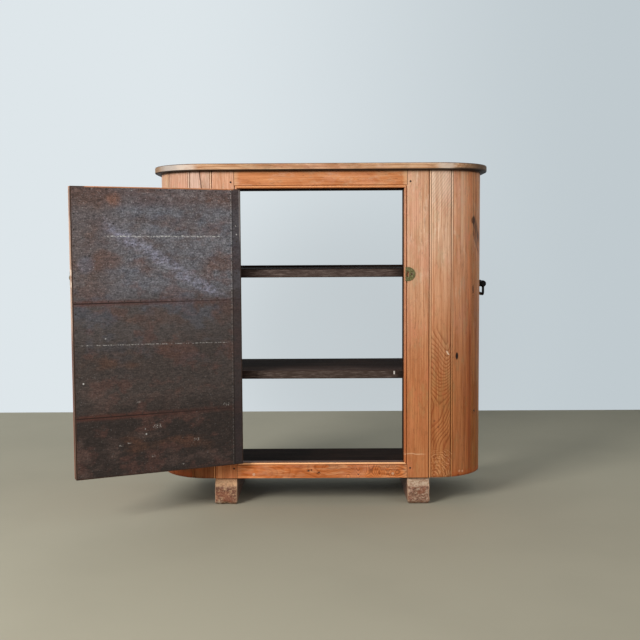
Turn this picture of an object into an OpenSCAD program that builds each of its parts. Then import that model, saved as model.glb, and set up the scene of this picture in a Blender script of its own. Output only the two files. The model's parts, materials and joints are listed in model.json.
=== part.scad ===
// Demilune warming cabinet: a flat beaded front frame with one tin-lined door,
// rounded ends of matched boards, two shelves, an open back and two runner feet.
// Millimetres. Origin on the floor under the middle of the case, front towards -Y.

/* [Case] */
// Height of the cabinet over its top board
overall_h = 1090; // [900:1:1400]
// Depth of the case, from the front frame to the open back
body_d = 390; // [340:1:520]
// Radius of the rounded ends, over the end boards
corner_r = 165; // [130:1:190]
// Flat width left between a stile and the start of its rounded end
flat_margin = 11; // [6:1:60]
// Thickness of the top board
top_t = 22; // [16:1:32]
// Reach of the top board past the case, at the front and both ends
top_overhang = 21; // [16:1:40]
// Radius of the top board's rounded edges
nose_r = 5; // [2:0.5:8]

/* [Front frame] */
// Width of the doorway between the beads
opening_w = 528; // [420:1:640]
// Face width of each stile, with its beads
stile_w = 85; // [60:1:120]
// Height of the top rail, with its bead
top_rail_h = 54.5; // [45:0.5:90]
// Height of the bottom rail, with its bead
bottom_rail_h = 50.5; // [45:0.5:90]
// Thickness of the frame's stiles and rails
frame_t = 30; // [30:1:36]
// Width of the bead round the doorway
door_bead_w = 6.5; // [5:0.5:12]
// Width of the bead down the outer edge of each stile
stile_bead_w = 5.5; // [5:0.5:11]
// Width of the groove beside each bead
quirk_w = 2.6; // [1:0.1:3]
// Depth of the groove beside each bead
quirk_d = 3.5; // [2:0.5:5]
// Length of the rails' tenons
tenon_l = 30; // [15:1:45]
// Thickness of the rails' tenons
tenon_t = 10; // [6:1:12]
// Diameter of the pegs through the tenons
peg_d = 6; // [4:0.5:8]

/* [End boards] */
// Thickness of the matched boards round the ends
board_t = 16; // [12:1:20]
// Width of the board next to each stile
first_board_w = 72; // [55:1:90]
// Width of the second board
second_board_w = 87.5; // [60:0.5:100]
// Width of the bead on each board's edge
board_bead_w = 5.5; // [4:0.5:8]
// Length of the tongue on each board's edge
tongue_l = 5; // [3:0.5:7]
// Thickness of the tongue on each board's edge
tongue_t = 4; // [3:0.5:5]

/* [Inside] */
// Thickness of the floor board
floor_t = 16; // [12:1:22]
// Thickness of the board under the top that the end boards are nailed to
former_t = 18; // [12:1:24]
// Thickness of the two shelves
shelf_t = 26.5; // [16:0.5:30]
// Clear height of the space under the lower shelf
bottom_space_h = 300.5; // [220:0.5:340]
// Clear height of the space between the shelves
middle_space_h = 301; // [220:1:340]
// How far the shelves stop short of the open back
shelf_setback = 4; // [0:1:12]
// Rise of the strip along the back of the upper shelf over the shelf
lip_h = 7; // [4:0.5:12]
// Thickness of that strip
lip_t = 8; // [5:0.5:12]
// Width and depth of the two posts at the open back
post_w = 28; // [22:1:40]
// Height and width of the cleats under the shelves
cleat_w = 20; // [14:1:28]
// Thickness of the tinplate lining
tin_t = 0.6; // [0.5:0.1:1]
// Thickness of the strips that the door shuts against
stop_t = 12; // [8:1:16]
// Reach of the side strip into the doorway
stop_reach = 4; // [3.5:0.5:10]
// Reach of the top strip into the doorway
top_stop_reach = 7; // [5:0.5:14]

/* [Feet] */
// Height of the runner feet
foot_h = 87; // [50:1:120]
// Width of each foot
foot_w = 72; // [50:1:73]
// Height of the slope at the top of each foot's ends
foot_slope_h = 31; // [10:1:45]
// Depth of that slope
foot_slope_d = 13; // [6:1:30]
// Radius of the worn lower edges
foot_edge_r = 9; // [4:1:16]

/* [Door] */
// Thickness of the door's wood
door_t = 28; // [22:0.5:28]
// How far the door stands open, in degrees
door_open = 155; // [90:1:170]
// Gap between the door and the hinge side of the doorway
hinge_gap = 1.5; // [1:0.1:2.5]
// Gap between the door and the lock side of the doorway
lock_gap = 2.5; // [2:0.1:4]
// Gap above and below the door
end_gap = 5; // [1:0.1:5]
// Width of the door's stiles
door_stile_w = 84; // [60:1:110]
// Height of the door's top rail
door_top_rail_h = 84; // [60:1:110]
// Height of the door's middle rail
door_middle_rail_h = 110; // [70:1:140]
// Height of the door's bottom rail
door_bottom_rail_h = 110; // [70:1:140]
// Height of the lower panel's opening
lower_panel_h = 250; // [180:1:300]
// Thickness of the panels
panel_t = 10; // [7:1:12]
// Depth of the grooves that hold the panels
panel_groove = 7; // [5:1:10]

/* [Door lining] */
// Height of each whole tin sheet
sheet_h = 340; // [280:1:360]
// Width of the narrow tin strip at the hinge side
tin_strip_w = 24; // [16:1:40]
// Bare wood left round the tin
tin_margin = 3.5; // [2:0.5:8]
// Diameter of the tack heads
tack_d = 4; // [3:0.5:6]
// Height of the tack heads
tack_h = 0.8; // [0.5:0.1:0.8]
// Spacing of the tacks, about
tack_pitch = 48; // [30:1:70]

/* [Hinges] */
// Length of each butt hinge
hinge_l = 76; // [50:1:100]
// Width of each hinge leaf
leaf_w = 22; // [16:1:24]
// Thickness of each hinge leaf
leaf_t = 1.6; // [1.2:0.1:2.2]
// Diameter of the hinge knuckles
knuckle_d = 9; // [8:0.5:9.5]
// Diameter of the hinge pins
pin_d = 4; // [3:0.5:5]
// Height of the lower hinge's middle over the door's foot
lower_hinge_h = 130; // [80:1:200]
// Depth of the upper hinge's middle under the door's head
upper_hinge_h = 130; // [80:1:200]
// Radial running clearance of pins, spindle and handles
running = 0.05; // [0.03:0.01:0.1]

/* [Turn and strike] */
// Height of the door's turn over the floor
turn_h = 741; // [680:1:800]
// Radius of the half-round brass plates
plate_r = 22; // [16:0.5:26]
// Straight run of the half-round plates, before the round
plate_straight = 9; // [7:0.5:14]
// Thickness of the brass plates
plate_t = 1.6; // [1.2:0.1:2.4]
// Distance of the turn's spindle from the door's free edge
spindle_inset = 15; // [13:0.5:18]
// Diameter of the turn's spindle
spindle_d = 8; // [6:0.5:9]
// Length of the tongue from the spindle's axis
tongue_reach = 29; // [26:0.5:32]
// Width of the tongue
tongue_bar_w = 8; // [6:0.5:10]
// Thickness of the tongue
tongue_bar_t = 3; // [2:0.5:3.5]
// Diameter of the turn's knob
knob_d = 27; // [20:1:34]

/* [Side handles] */
// Height of the handles' axis over the floor
handle_h = 703; // [600:1:860]
// Place of the handles behind the middle of the case
handle_y = 25; // [15:1:60]
// Length of the handles' back plates
handle_plate_l = 92; // [80:1:104]
// Height of the handles' back plates
handle_plate_h = 40; // [28:1:44]
// Thickness of the handles' back plates
handle_plate_t = 3; // [2:0.5:5]
// Distance of the handles' axis from the side of the case
handle_reach = 15; // [13:0.5:20]
// Diameter of the bosses that hold the bail
boss_d = 22; // [16:1:22]
// Length of each boss
boss_l = 12; // [8:1:16]
// Distance between the middles of the bosses
boss_spacing = 78; // [60:1:84]
// Drop from the axis to the middle of the grip
bail_drop = 35; // [32:1:50]
// Diameter of the bail's arms
bail_d = 8; // [5:0.5:8]
// Diameter of the bail's grip
grip_d = 11; // [9:0.5:13]

/* [Hidden] */
$fn = 64;

pine = "#C98F66";
pale_pine = "#D6A585";
red_pine = "#C27B4C";
worn_pine = "#A8896C";
sooty = "#4A3E38";
tin = "#4C423C";
brass = "#7C7550";
iron = "#2B2725";

// Small overlap that keeps cuts and unions clean
eps = 0.5;
// Boards round each end
boards_per_end = 6;

half_opening = opening_w / 2;
half_flat = half_opening + stile_w + flat_margin;
half_w = half_flat + corner_r;
front_y = -body_d / 2;
back_y = body_d / 2;
body_top = overall_h - top_t;
opening_z0 = foot_h + bottom_rail_h;
opening_z1 = body_top - top_rail_h;
bead_zone = door_bead_w + quirk_w;
stile_outer = half_opening + stile_w;

floor_top = foot_h + floor_t;
former_z = body_top - former_t;
lower_shelf_z = floor_top + bottom_space_h;
upper_shelf_z = lower_shelf_z + shelf_t + middle_space_h;
shelf_front = frame_t + stop_t;
shelf_back = body_d - shelf_setback;
// Inset of what stands inside the lining, with a little room
lined_inset = board_t + tin_t + 0.2;

// Lengths along the outside of the case, from the middle of the front round one end
arc_end = half_flat + corner_r * PI / 2;
run_end = arc_end + body_d - corner_r;
rest_board_w = (run_end - stile_outer - first_board_w - second_board_w) / (boards_per_end - 2);

door_x0 = -half_opening + hinge_gap;
door_x1 = half_opening - lock_gap;
door_z0 = opening_z0 + end_gap;
door_z1 = opening_z1 - end_gap;
middle_rail_z0 = door_z0 + door_bottom_rail_h + lower_panel_h;
middle_rail_z1 = middle_rail_z0 + door_middle_rail_h;
// Edge of the hinge side's tin strip, and the two seams between sheets
strip_x = door_x0 + tin_margin + tin_strip_w;
tin_z0 = door_z0 + tin_margin;
tin_z1 = door_z1 - tin_margin;
upper_seam_z = tin_z1 - sheet_h;
lower_seam_z = upper_seam_z - sheet_h;
seams = [tin_z0, lower_seam_z, upper_seam_z, tin_z1];

// Axis of the door's hinges, just in front of the frame's face
pin_x = -half_opening + hinge_gap / 2;
pin_y = -knuckle_d / 2 - 0.5;
knuckles = 5;
knuckle_gap = 0.3;
hinge_heights = [door_z0 + lower_hinge_h, door_z1 - upper_hinge_h];

// The turn: its spindle, and the slot that its tongue turns in
plate_w = plate_straight + plate_r;
spindle_x = door_x1 - spindle_inset;
slot_y0 = 2.5;
slot_play = 1.5;
slot_y1 = slot_y0 + tongue_bar_t + slot_play;
slot_room = 2;
// Bare edge left between the doorway and the strike plate
strike_inset = 3;
strike_x = half_opening + strike_inset;
keep_depth = spindle_x + tongue_reach + slot_room - half_opening;
screw_head_d = 6.5;
screw_shank_d = 3.4;
// Room round each board's tongue, on its faces and at its end
tongue_room = 0.1;
tongue_end_room = 0.3;

// Point on the outside of the right half at a length along it, moved outwards
function turned(s) = max(0, min(90, (s - half_flat) / corner_r * 180 / PI));
function case_point(s, out = 0) = [
    min(s, half_flat) + (corner_r + out) * sin(turned(s)),
    corner_r - (corner_r + out) * cos(turned(s)) + max(0, s - arc_end)
];
// Length along the outside at which a board begins
function board_edge(i) =
    i == 0 ? stile_outer :
    i == 1 ? stile_outer + first_board_w :
    stile_outer + first_board_w + second_board_w + (i - 2) * rest_board_w;

// Moves what is drawn from the face of the front frame to its place in the case
module on_case() {
    translate([0, front_y, 0]) children();
}

// Turns what is drawn for a shut door to where the open door stands
module on_door() {
    on_case()
        translate([pin_x, pin_y, 0])
            rotate([0, 0, -door_open])
                translate([-pin_x, -pin_y, 0]) children();
}

// Mirrors a right-hand piece for the left
module on_side(side) {
    if (side > 0) children();
    else mirror([1, 0, 0]) children();
}

// Extrudes an outline drawn across the front, from the face back
module front_slab(depth, from = 0) {
    translate([0, from + depth, 0]) rotate([90, 0, 0]) linear_extrude(depth) children();
}

// The case's outline on the floor, set in all round but open at the back
module case_plan(inset, back) {
    translate([-half_flat, inset]) square([2 * half_flat, back - inset]);
    for (side = [-1, 1])
        translate([side * half_flat, corner_r]) circle(corner_r - inset, $fn = 96);
    translate([-half_w + inset, corner_r]) square([2 * (half_w - inset), back - corner_r]);
}

// What is cut away from an edge at x = 0 to leave a bead and its groove
module bead_relief(w) {
    bead_r = 0.55 * w;
    rounding = 0.25 * w;
    difference() {
        translate([-1, -1]) square([w + 1, 1 + rounding]);
        translate([w / 2, bead_r]) circle(bead_r);
    }
    translate([w - eps, -1]) square([quirk_w + eps, rounding + 1]);
    translate([w, -1]) square([quirk_w, quirk_d + 1]);
}

// One matched board's cross-section, with its tongue, groove and bead
module at_length(s) {
    translate(case_point(s)) rotate(turned(s)) children();
}
module matched_board_plan(i) {
    s0 = board_edge(i);
    s1 = board_edge(i + 1);
    difference() {
        union() {
            intersection() {
                difference() {
                    case_plan(0, body_d);
                    case_plan(board_t, body_d + 1);
                }
                polygon([
                    case_point(s0, board_t), case_point(s1, board_t),
                    case_point(s1, -2 * board_t), case_point(s0, -2 * board_t)
                ]);
            }
            if (i < boards_per_end - 1)
                at_length(s1) translate([-eps, (board_t - tongue_t) / 2])
                    square([tongue_l + eps, tongue_t]);
        }
        if (i > 0)
            at_length(s0) translate([-eps, (board_t - tongue_t) / 2 - tongue_room])
                square([tongue_l + tongue_end_room + eps, tongue_t + 2 * tongue_room]);
        if (i < boards_per_end - 1)
            at_length(s1) mirror([1, 0]) bead_relief(board_bead_w);
    }
}
module end_board(side, i) {
    color(i % 2 == 0 ? pine : pale_pine)
        difference() {
            on_side(side) on_case() translate([0, 0, foot_h])
                linear_extrude(body_top - foot_h) matched_board_plan(i);
            at_handle(side) handle_screw_shanks();
        }
}

// The front frame's section: x runs from the doorway outwards, y runs back
module frame_section(w, outer_bead) {
    difference() {
        square([w, frame_t]);
        bead_relief(door_bead_w);
        if (outer_bead) translate([w, 0]) mirror([1, 0]) bead_relief(stile_bead_w);
    }
}

// Tenons at the right end of the top and bottom rails, and their pegs
tenon_shoulder = 6;
tenon_room = 0.5;
module tenon(z0, z1, room = 0) {
    translate([half_opening + bead_zone - eps, (frame_t - tenon_t) / 2, z0 + tenon_shoulder])
        cube([tenon_l + eps + room, tenon_t, z1 - z0 - 2 * tenon_shoulder]);
}
peg_inset = 10;
peg_recess = 1.5;
peg_back = 3;
module pegs(recess) {
    for (side = [-1, 1], z = [opening_z0 - bead_zone - peg_inset, opening_z1 + bead_zone + peg_inset])
        translate([side * (half_opening + bead_zone + peg_inset), recess, z])
            rotate([-90, 0, 0]) cylinder(d = peg_d, h = frame_t - peg_back - recess);
}
module frame_pegs() {
    color(sooty) on_case() pegs(peg_recess);
}

// A stile of the front frame, its bead mitred to the rails' beads
module stile_body(side) {
    on_side(side) difference() {
        intersection() {
            translate([half_opening, 0, foot_h])
                linear_extrude(body_top - foot_h) frame_section(stile_w, true);
            front_slab(frame_t + 2, -1) polygon([
                [half_opening, opening_z0], [half_opening + bead_zone, opening_z0 - bead_zone],
                [half_opening + bead_zone, foot_h], [stile_outer, foot_h],
                [stile_outer, body_top], [half_opening + bead_zone, body_top],
                [half_opening + bead_zone, opening_z1 + bead_zone], [half_opening, opening_z1]
            ]);
        }
        tenon(foot_h, opening_z0 - bead_zone, tenon_room);
        tenon(opening_z1 + bead_zone, body_top, tenon_room);
    }
}
module left_stile() {
    color(pine) on_case() difference() {
        stile_body(-1);
        pegs(-1);
        hinge_cut(-1);
        hinge_screws(-1);
    }
}
module right_stile() {
    color(pale_pine) on_case() difference() {
        stile_body(1);
        pegs(-1);
        keep_mortise();
        strike_window();
        strike_screw_body();
    }
}

// A rail of the front frame: the top rail, or upside down the bottom rail
module rail_body(h) {
    intersection() {
        rotate([0, -90, 0]) linear_extrude(2 * stile_outer, center = true)
            frame_section(h, false);
        front_slab(frame_t + 2, -1) polygon([
            [-half_opening, 0], [-half_opening - bead_zone, bead_zone],
            [-half_opening - bead_zone, h], [half_opening + bead_zone, h],
            [half_opening + bead_zone, bead_zone], [half_opening, 0]
        ]);
    }
    for (side = [-1, 1]) on_side(side) tenon(bead_zone, h);
}
module top_rail() {
    color(red_pine) on_case() difference() {
        translate([0, 0, opening_z1]) rail_body(top_rail_h);
        pegs(-1);
    }
}
module bottom_rail() {
    color(red_pine) on_case() difference() {
        translate([0, 0, opening_z0]) mirror([0, 0, 1]) rail_body(bottom_rail_h);
        pegs(-1);
    }
}

// The top board, with both edges of its nosing rounded along the front and the ends
nose_out = top_overhang - nose_r;
module nosed_slab(w) {
    square([w, top_t]);
    translate([0, nose_r]) square([w + nose_r, top_t - 2 * nose_r]);
    for (y = [nose_r, top_t - nose_r]) translate([w, y]) circle(nose_r);
}
module top_board() {
    color(worn_pine) on_case() translate([0, 0, body_top]) {
        rotate([90, 0, 90]) translate([0, 0, -half_flat]) linear_extrude(2 * half_flat)
            translate([body_d, 0]) mirror([1, 0]) nosed_slab(body_d + nose_out);
        for (side = [-1, 1]) on_side(side) translate([half_flat, corner_r, 0]) {
            rotate([0, 0, -90]) rotate_extrude(angle = 90, $fn = 96) nosed_slab(corner_r + nose_out);
            translate([0, body_d - corner_r, 0]) rotate([90, 0, 0])
                linear_extrude(body_d - corner_r) nosed_slab(corner_r + nose_out);
        }
    }
}

// The boards that the case is built round
module level_board(t, front, inset, back) {
    linear_extrude(t) difference() {
        case_plan(inset, back);
        translate([-stile_outer, 0]) square([2 * stile_outer, front]);
    }
}
module top_former() {
    color(pine) on_case() translate([0, 0, former_z])
        level_board(former_t, frame_t, board_t, body_d);
}
module floor_board() {
    color(sooty) on_case() translate([0, 0, foot_h])
        level_board(floor_t, frame_t, board_t, body_d);
}
post_room = 0.3;
module shelf(z, back) {
    color(sooty) on_case() difference() {
        translate([0, 0, z]) level_board(shelf_t, shelf_front, lined_inset, back);
        for (side = [-1, 1]) on_side(side)
            translate([half_w - board_t - post_w - post_room, body_d - post_w - post_room, z - 1])
                cube([post_w + 1, post_w + 1, shelf_t + 2]);
    }
}
module shelf_lip() {
    half = half_w - board_t - post_w - post_room;
    color(sooty) on_case() translate([-half, shelf_back - lip_t, upper_shelf_z])
        cube([2 * half, lip_t, shelf_t + lip_h]);
}
module rear_post(side) {
    color(pine) on_side(side) on_case()
        translate([half_w - board_t - post_w, body_d - post_w, floor_top])
            cube([post_w, post_w, former_z - floor_top]);
}
cleat_end = 4;
module shelf_cleats() {
    color(sooty) on_case()
        for (side = [-1, 1], z = [lower_shelf_z, upper_shelf_z]) on_side(side)
            translate([half_w - board_t - tin_t - cleat_w, corner_r + cleat_end, z - cleat_w])
                cube([cleat_w, body_d - post_w - corner_r - 2 * cleat_end, cleat_w]);
}

// A tin lining: one bent sheet inside the end boards, from floor to former
module lining(side) {
    color(tin) on_side(side) on_case() translate([0, 0, floor_top])
        linear_extrude(former_z - floor_top) intersection() {
            difference() {
                case_plan(board_t, body_d);
                case_plan(board_t + tin_t, body_d);
            }
            translate([half_flat, 0]) square([half_w, body_d - post_w]);
        }
}

// The strips behind the frame that the door shuts against
stop_hold = 20;
module door_stop_side() {
    color(sooty) on_case()
        translate([half_opening - stop_reach, frame_t, floor_top])
            cube([stop_reach + stop_hold, stop_t, former_z - floor_top]);
}
module door_stop_top() {
    color(sooty) on_case()
        translate([-half_opening - stop_hold, frame_t, opening_z1 - top_stop_reach])
            cube([2 * half_opening + stop_hold - stop_reach, stop_t, top_stop_reach + stop_hold]);
}

// A runner foot, from the front frame to the open back
foot_inset = 1;
module foot(side) {
    foot_x = half_opening + bead_zone + foot_inset;
    foot_l = body_d - foot_inset;
    color(worn_pine) on_side(side) on_case() intersection() {
        translate([foot_x, 0, 0]) rotate([90, 0, 90]) linear_extrude(foot_w) polygon([
            [foot_inset, foot_edge_r], [foot_inset + foot_edge_r, 0],
            [foot_l - foot_edge_r, 0], [foot_l, foot_edge_r],
            [foot_l, foot_h - foot_slope_h], [foot_l - foot_slope_d, foot_h],
            [foot_inset + foot_slope_d, foot_h], [foot_inset, foot_h - foot_slope_h]
        ]);
        front_slab(body_d + 2, -1) {
            translate([foot_x, foot_edge_r]) square([foot_w, foot_h - foot_edge_r]);
            translate([foot_x + foot_edge_r, 0]) square([foot_w - 2 * foot_edge_r, foot_edge_r + 1]);
            for (x = [foot_x + foot_edge_r, foot_x + foot_w - foot_edge_r])
                translate([x, foot_edge_r]) circle(foot_edge_r);
        }
    }
}

// The door's frame and panels, drawn shut
panel_y = (door_t - panel_t) / 2;
door_tenon_l = 40;
module door_rail_shape(z0, z1) {
    x0 = door_x0 + door_stile_w;
    x1 = door_x1 - door_stile_w;
    translate([x0, 0, z0]) cube([x1 - x0, door_t, z1 - z0]);
    translate([x0 - door_tenon_l, panel_y, z0 + 2 * panel_groove])
        cube([x1 - x0 + 2 * door_tenon_l, panel_t, z1 - z0 - 4 * panel_groove]);
}
module panel_shape(z0, z1) {
    translate([door_x0 + door_stile_w - panel_groove, panel_y, z0 - panel_groove])
        cube([door_x1 - door_x0 - 2 * door_stile_w + 2 * panel_groove, panel_t,
              z1 - z0 + 2 * panel_groove]);
}
module upper_panel_shape() {
    panel_shape(middle_rail_z1, door_z1 - door_top_rail_h);
}
module lower_panel_shape() {
    panel_shape(door_z0 + door_bottom_rail_h, middle_rail_z0);
}
module door_rail(z0, z1) {
    color(pine) on_door() difference() {
        door_rail_shape(z0, z1);
        upper_panel_shape();
        lower_panel_shape();
    }
}
module door_stile_cuts() {
    door_rail_shape(door_z0, door_z0 + door_bottom_rail_h);
    door_rail_shape(middle_rail_z0, middle_rail_z1);
    door_rail_shape(door_z1 - door_top_rail_h, door_z1);
    upper_panel_shape();
    lower_panel_shape();
}
module door_hinge_stile() {
    color(pine) on_door() difference() {
        translate([door_x0, 0, door_z0]) cube([door_stile_w, door_t, door_z1 - door_z0]);
        door_stile_cuts();
        hinge_cut(1);
        hinge_screws(1);
    }
}
module door_lock_stile() {
    color(pine) on_door() difference() {
        translate([door_x1 - door_stile_w, 0, door_z0])
            cube([door_stile_w, door_t, door_z1 - door_z0]);
        door_stile_cuts();
        spindle(running);
        tongue_slot();
    }
}
module door_upper_panel() {
    color(pale_pine) on_door() upper_panel_shape();
}
module door_lower_panel() {
    color(pale_pine) on_door() lower_panel_shape();
}

// The door's tin lining: three sheets and a strip, laid on the inner face
module tin_sheet(x0, x1, z0, z1) {
    color(tin) on_door() translate([x0, door_t, z0]) cube([x1 - x0, tin_t, z1 - z0]);
}
module door_tin(k) {
    tin_sheet(strip_x, door_x1 - tin_margin, seams[k], seams[k + 1]);
}
tack_inset = 5;
module tack_row(from, to) {
    run = norm(to - from);
    count = max(2, round(run / tack_pitch));
    for (k = [0 : count])
        translate(from + (to - from) * k / count)
            rotate([-90, 0, 0]) cylinder(d = tack_d, h = tack_h, $fn = 24);
}
module door_tacks() {
    y = door_t + tin_t;
    right = door_x1 - tin_margin - tack_inset;
    left = strip_x + tack_inset;
    color(iron) on_door() {
        for (z = [tin_z0, lower_seam_z, upper_seam_z])
            tack_row([left, y, z + tack_inset], [right, y, z + tack_inset]);
        tack_row([left, y, tin_z1 - tack_inset], [right, y, tin_z1 - tack_inset]);
        for (k = [0 : 2], x = [left, right])
            tack_row([x, y, seams[k] + 6 * tack_inset], [x, y, seams[k + 1] - 6 * tack_inset]);
        tack_row([strip_x - tin_strip_w / 2, y, tin_z0 + 2 * tack_inset],
                 [strip_x - tin_strip_w / 2, y, tin_z1 - 2 * tack_inset]);
    }
}

// Butt hinges, drawn shut: side -1 is the case's leaf, side 1 is the door's
module hinge_leaf_plate(side, z, grow = 0) {
    x = side < 0 ? -half_opening - leaf_t : door_x0;
    translate([x, -grow, z - hinge_l / 2]) cube([leaf_t, leaf_w + grow, hinge_l]);
}
module hinge_cut(side) {
    for (z = hinge_heights) hinge_leaf_plate(side, z, 1);
}
module hinge_leaf(side, z) {
    pitch = hinge_l / knuckles;
    x = side < 0 ? -half_opening - leaf_t : door_x0;
    difference() {
        union() {
            hinge_leaf_plate(side, z);
            for (k = [0 : knuckles - 1]) if ((k % 2 == 0) == (side < 0))
                translate([0, 0, z - hinge_l / 2 + k * pitch + knuckle_gap / 2]) {
                    translate([pin_x, pin_y, 0]) cylinder(d = knuckle_d, h = pitch - knuckle_gap);
                    translate([x, pin_y, 0]) cube([leaf_t, -pin_y + 1, pitch - knuckle_gap]);
                }
        }
        translate([pin_x, pin_y, z - hinge_l / 2 - 1])
            cylinder(r = pin_d / 2 + running, h = hinge_l + 2);
        hinge_screws(side);
    }
}
module case_leaf(k) {
    color(iron) on_case() hinge_leaf(-1, hinge_heights[k]);
}
module door_leaf(k) {
    color(iron) on_door() hinge_leaf(1, hinge_heights[k]);
}
module case_hinge_screws() {
    color(iron) on_case() hinge_screws(-1);
}
module door_hinge_screws() {
    color(iron) on_door() hinge_screws(1);
}
finial_h = 5;
module hinge_pins() {
    color(iron) on_case() for (z = hinge_heights)
        translate([pin_x, pin_y, z]) {
            cylinder(d = pin_d, h = hinge_l + 2 * finial_h - 2, center = true);
            for (end = [-1, 1]) translate([0, 0, end * (hinge_l / 2 - knuckle_gap / 2 + finial_h / 2)])
                cylinder(d = knuckle_d - 1.5, h = finial_h, center = true);
        }
}
hinge_screw_l = 18;
screw_sink = 1;
// Places of a leaf's three screws, as shares of the leaf's width
screw_places = [0.65, 0.4, 0.65];
// Three countersunk screws in each leaf, pointing into the wood
module hinge_screws(side) {
    for (z = hinge_heights, k = [-1, 0, 1])
        translate([side < 0 ? -half_opening : door_x0, leaf_w * screw_places[k + 1],
                   z + k * hinge_l / 3])
            rotate([0, side * 90, 0]) {
                cylinder(d = screw_head_d, h = screw_sink, $fn = 32);
                cylinder(d = screw_shank_d, h = hinge_screw_l, $fn = 32);
            }
}

// The turn: a half-round plate on the door, its knob and spindle, and its tongue
module half_round_plan() {
    translate([plate_straight, 0]) intersection() {
        circle(plate_r);
        translate([0, -plate_r]) square([plate_r, 2 * plate_r]);
    }
    translate([0, -plate_r]) square([plate_straight + eps, 2 * plate_r]);
}
module turn_plate() {
    color(brass) on_door() difference() {
        translate([door_x1, 0, turn_h]) mirror([1, 0, 0])
            front_slab(plate_t, -plate_t) half_round_plan();
        spindle(running);
    }
}
spindle_tail = 2.5;
module spindle(room = 0) {
    translate([spindle_x, -plate_t - 1, turn_h]) rotate([-90, 0, 0])
        cylinder(r = spindle_d / 2 + room, h = plate_t + 1 + slot_y1 + spindle_tail + 4 * room);
}
knob_neck_l = 12;
knob_collar_d = spindle_d + 7;
knob_collar_t = 2.5;
knob_gap = 0.3;
knob_middle = 0.28 * knob_d;
knob_top = 0.62 * knob_d;
module turn_knob() {
    color(brass) on_door() difference() {
        union() {
            spindle();
            translate([spindle_x, -plate_t - knob_gap, turn_h]) rotate([90, 0, 0]) {
                cylinder(d = knob_collar_d, h = knob_collar_t);
                cylinder(d = spindle_d + 1, h = knob_neck_l + 2);
                translate([0, 0, knob_neck_l]) rotate_extrude() intersection() {
                    translate([0, knob_middle]) circle(knob_d / 2);
                    square([knob_d, knob_top]);
                }
            }
        }
        tongue_bar();
    }
}
// The tongue hangs from the spindle, inside the slot in the door's edge
module tongue_bar() {
    translate([spindle_x - tongue_bar_w / 2, slot_y0 + slot_play / 2, turn_h - tongue_reach])
        cube([tongue_bar_w, tongue_bar_t, tongue_reach]);
}
module turn_tongue() {
    color(iron) on_door() tongue_bar();
}
module tongue_slot() {
    translate([spindle_x - tongue_bar_w / 2 - slot_room, slot_y0, turn_h - tongue_reach - slot_room])
        cube([door_stile_w, slot_y1 - slot_y0, tongue_reach + tongue_bar_w / 2 + 2 * slot_room + 2]);
}

// The mortise in the right stile that the tongue turns into, and its brass strike plate
keep_z0 = turn_h - tongue_reach;
keep_z1 = turn_h + tongue_bar_w / 2 + slot_room + 1;
module keep_mortise() {
    translate([half_opening - 1, slot_y0, keep_z0])
        cube([keep_depth + 1, slot_y1 - slot_y0, keep_z1 - keep_z0]);
}
window_w = 8;
window_h = 17;
window_inset = 3;
module strike_window() {
    translate([strike_x + window_inset, -plate_t - 1, turn_h - window_h / 2])
        cube([window_w, plate_t + 1 + slot_y0 + 1, window_h]);
}
strike_screw_x = strike_x + 20;
strike_screw_l = 16;
strike_screw_depth = 0.4;
module strike_screw_body() {
    translate([strike_screw_x, strike_screw_depth - plate_t, turn_h]) rotate([-90, 0, 0]) {
        cylinder(d = screw_head_d, h = plate_t - strike_screw_depth, $fn = 32);
        cylinder(d = screw_shank_d, h = strike_screw_l, $fn = 32);
    }
}
module strike_plate() {
    color(brass) on_case() difference() {
        translate([strike_x, 0, turn_h]) front_slab(plate_t, -plate_t) half_round_plan();
        strike_window();
        translate([strike_screw_x, -plate_t - 1, turn_h]) rotate([-90, 0, 0])
            cylinder(d = screw_head_d, h = plate_t + 2, $fn = 32);
    }
}
module strike_screw() {
    color(iron) on_case() strike_screw_body();
}

// The side handles: a back plate with two bosses, and a bail that hangs from them
boss_end = boss_spacing / 2 + boss_l / 2;
boss_block_h = 0.8 * boss_d;
arm_y = boss_end + 1 + bail_d / 2;
pintle_d = bail_d - 1;
plate_screw_edge = 6;
module at_handle(side) {
    on_side(side) translate([half_w, handle_y, handle_h]) children();
}
module handle_screw_places() {
    for (y = [-1, 1], z = [-1, 1])
        translate([0, y * (boss_spacing / 2 - boss_l), z * (handle_plate_h / 2 - plate_screw_edge)])
            rotate([0, 90, 0]) children();
}
handle_screw_l = 12;
handle_screw_head_h = 1.8;
module handle_screw_shanks() {
    handle_screw_places() translate([0, 0, -handle_screw_l])
        cylinder(d = screw_shank_d, h = handle_screw_l + handle_plate_t, $fn = 32);
}
module handle_plate(side) {
    color(iron) at_handle(side) difference() {
        union() {
            translate([0, -handle_plate_l / 2, -handle_plate_h / 2])
                cube([handle_plate_t, handle_plate_l, handle_plate_h]);
            for (y = [-1, 1]) translate([0, y * boss_spacing / 2 - boss_l / 2, 0]) {
                translate([handle_reach, 0, 0]) rotate([-90, 0, 0]) cylinder(d = boss_d, h = boss_l);
                translate([1, 0, -boss_block_h / 2]) cube([handle_reach - 1, boss_l, boss_block_h]);
            }
        }
        translate([handle_reach, -boss_end - 1, 0]) rotate([-90, 0, 0])
            cylinder(r = pintle_d / 2 + running, h = 2 * boss_end + 2);
        handle_screw_shanks();
    }
}
bend_r = 11;
bail_eye_w = bail_d + 1;
bail_eye_d = bail_d + 4;
grip_end = 3;
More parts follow.
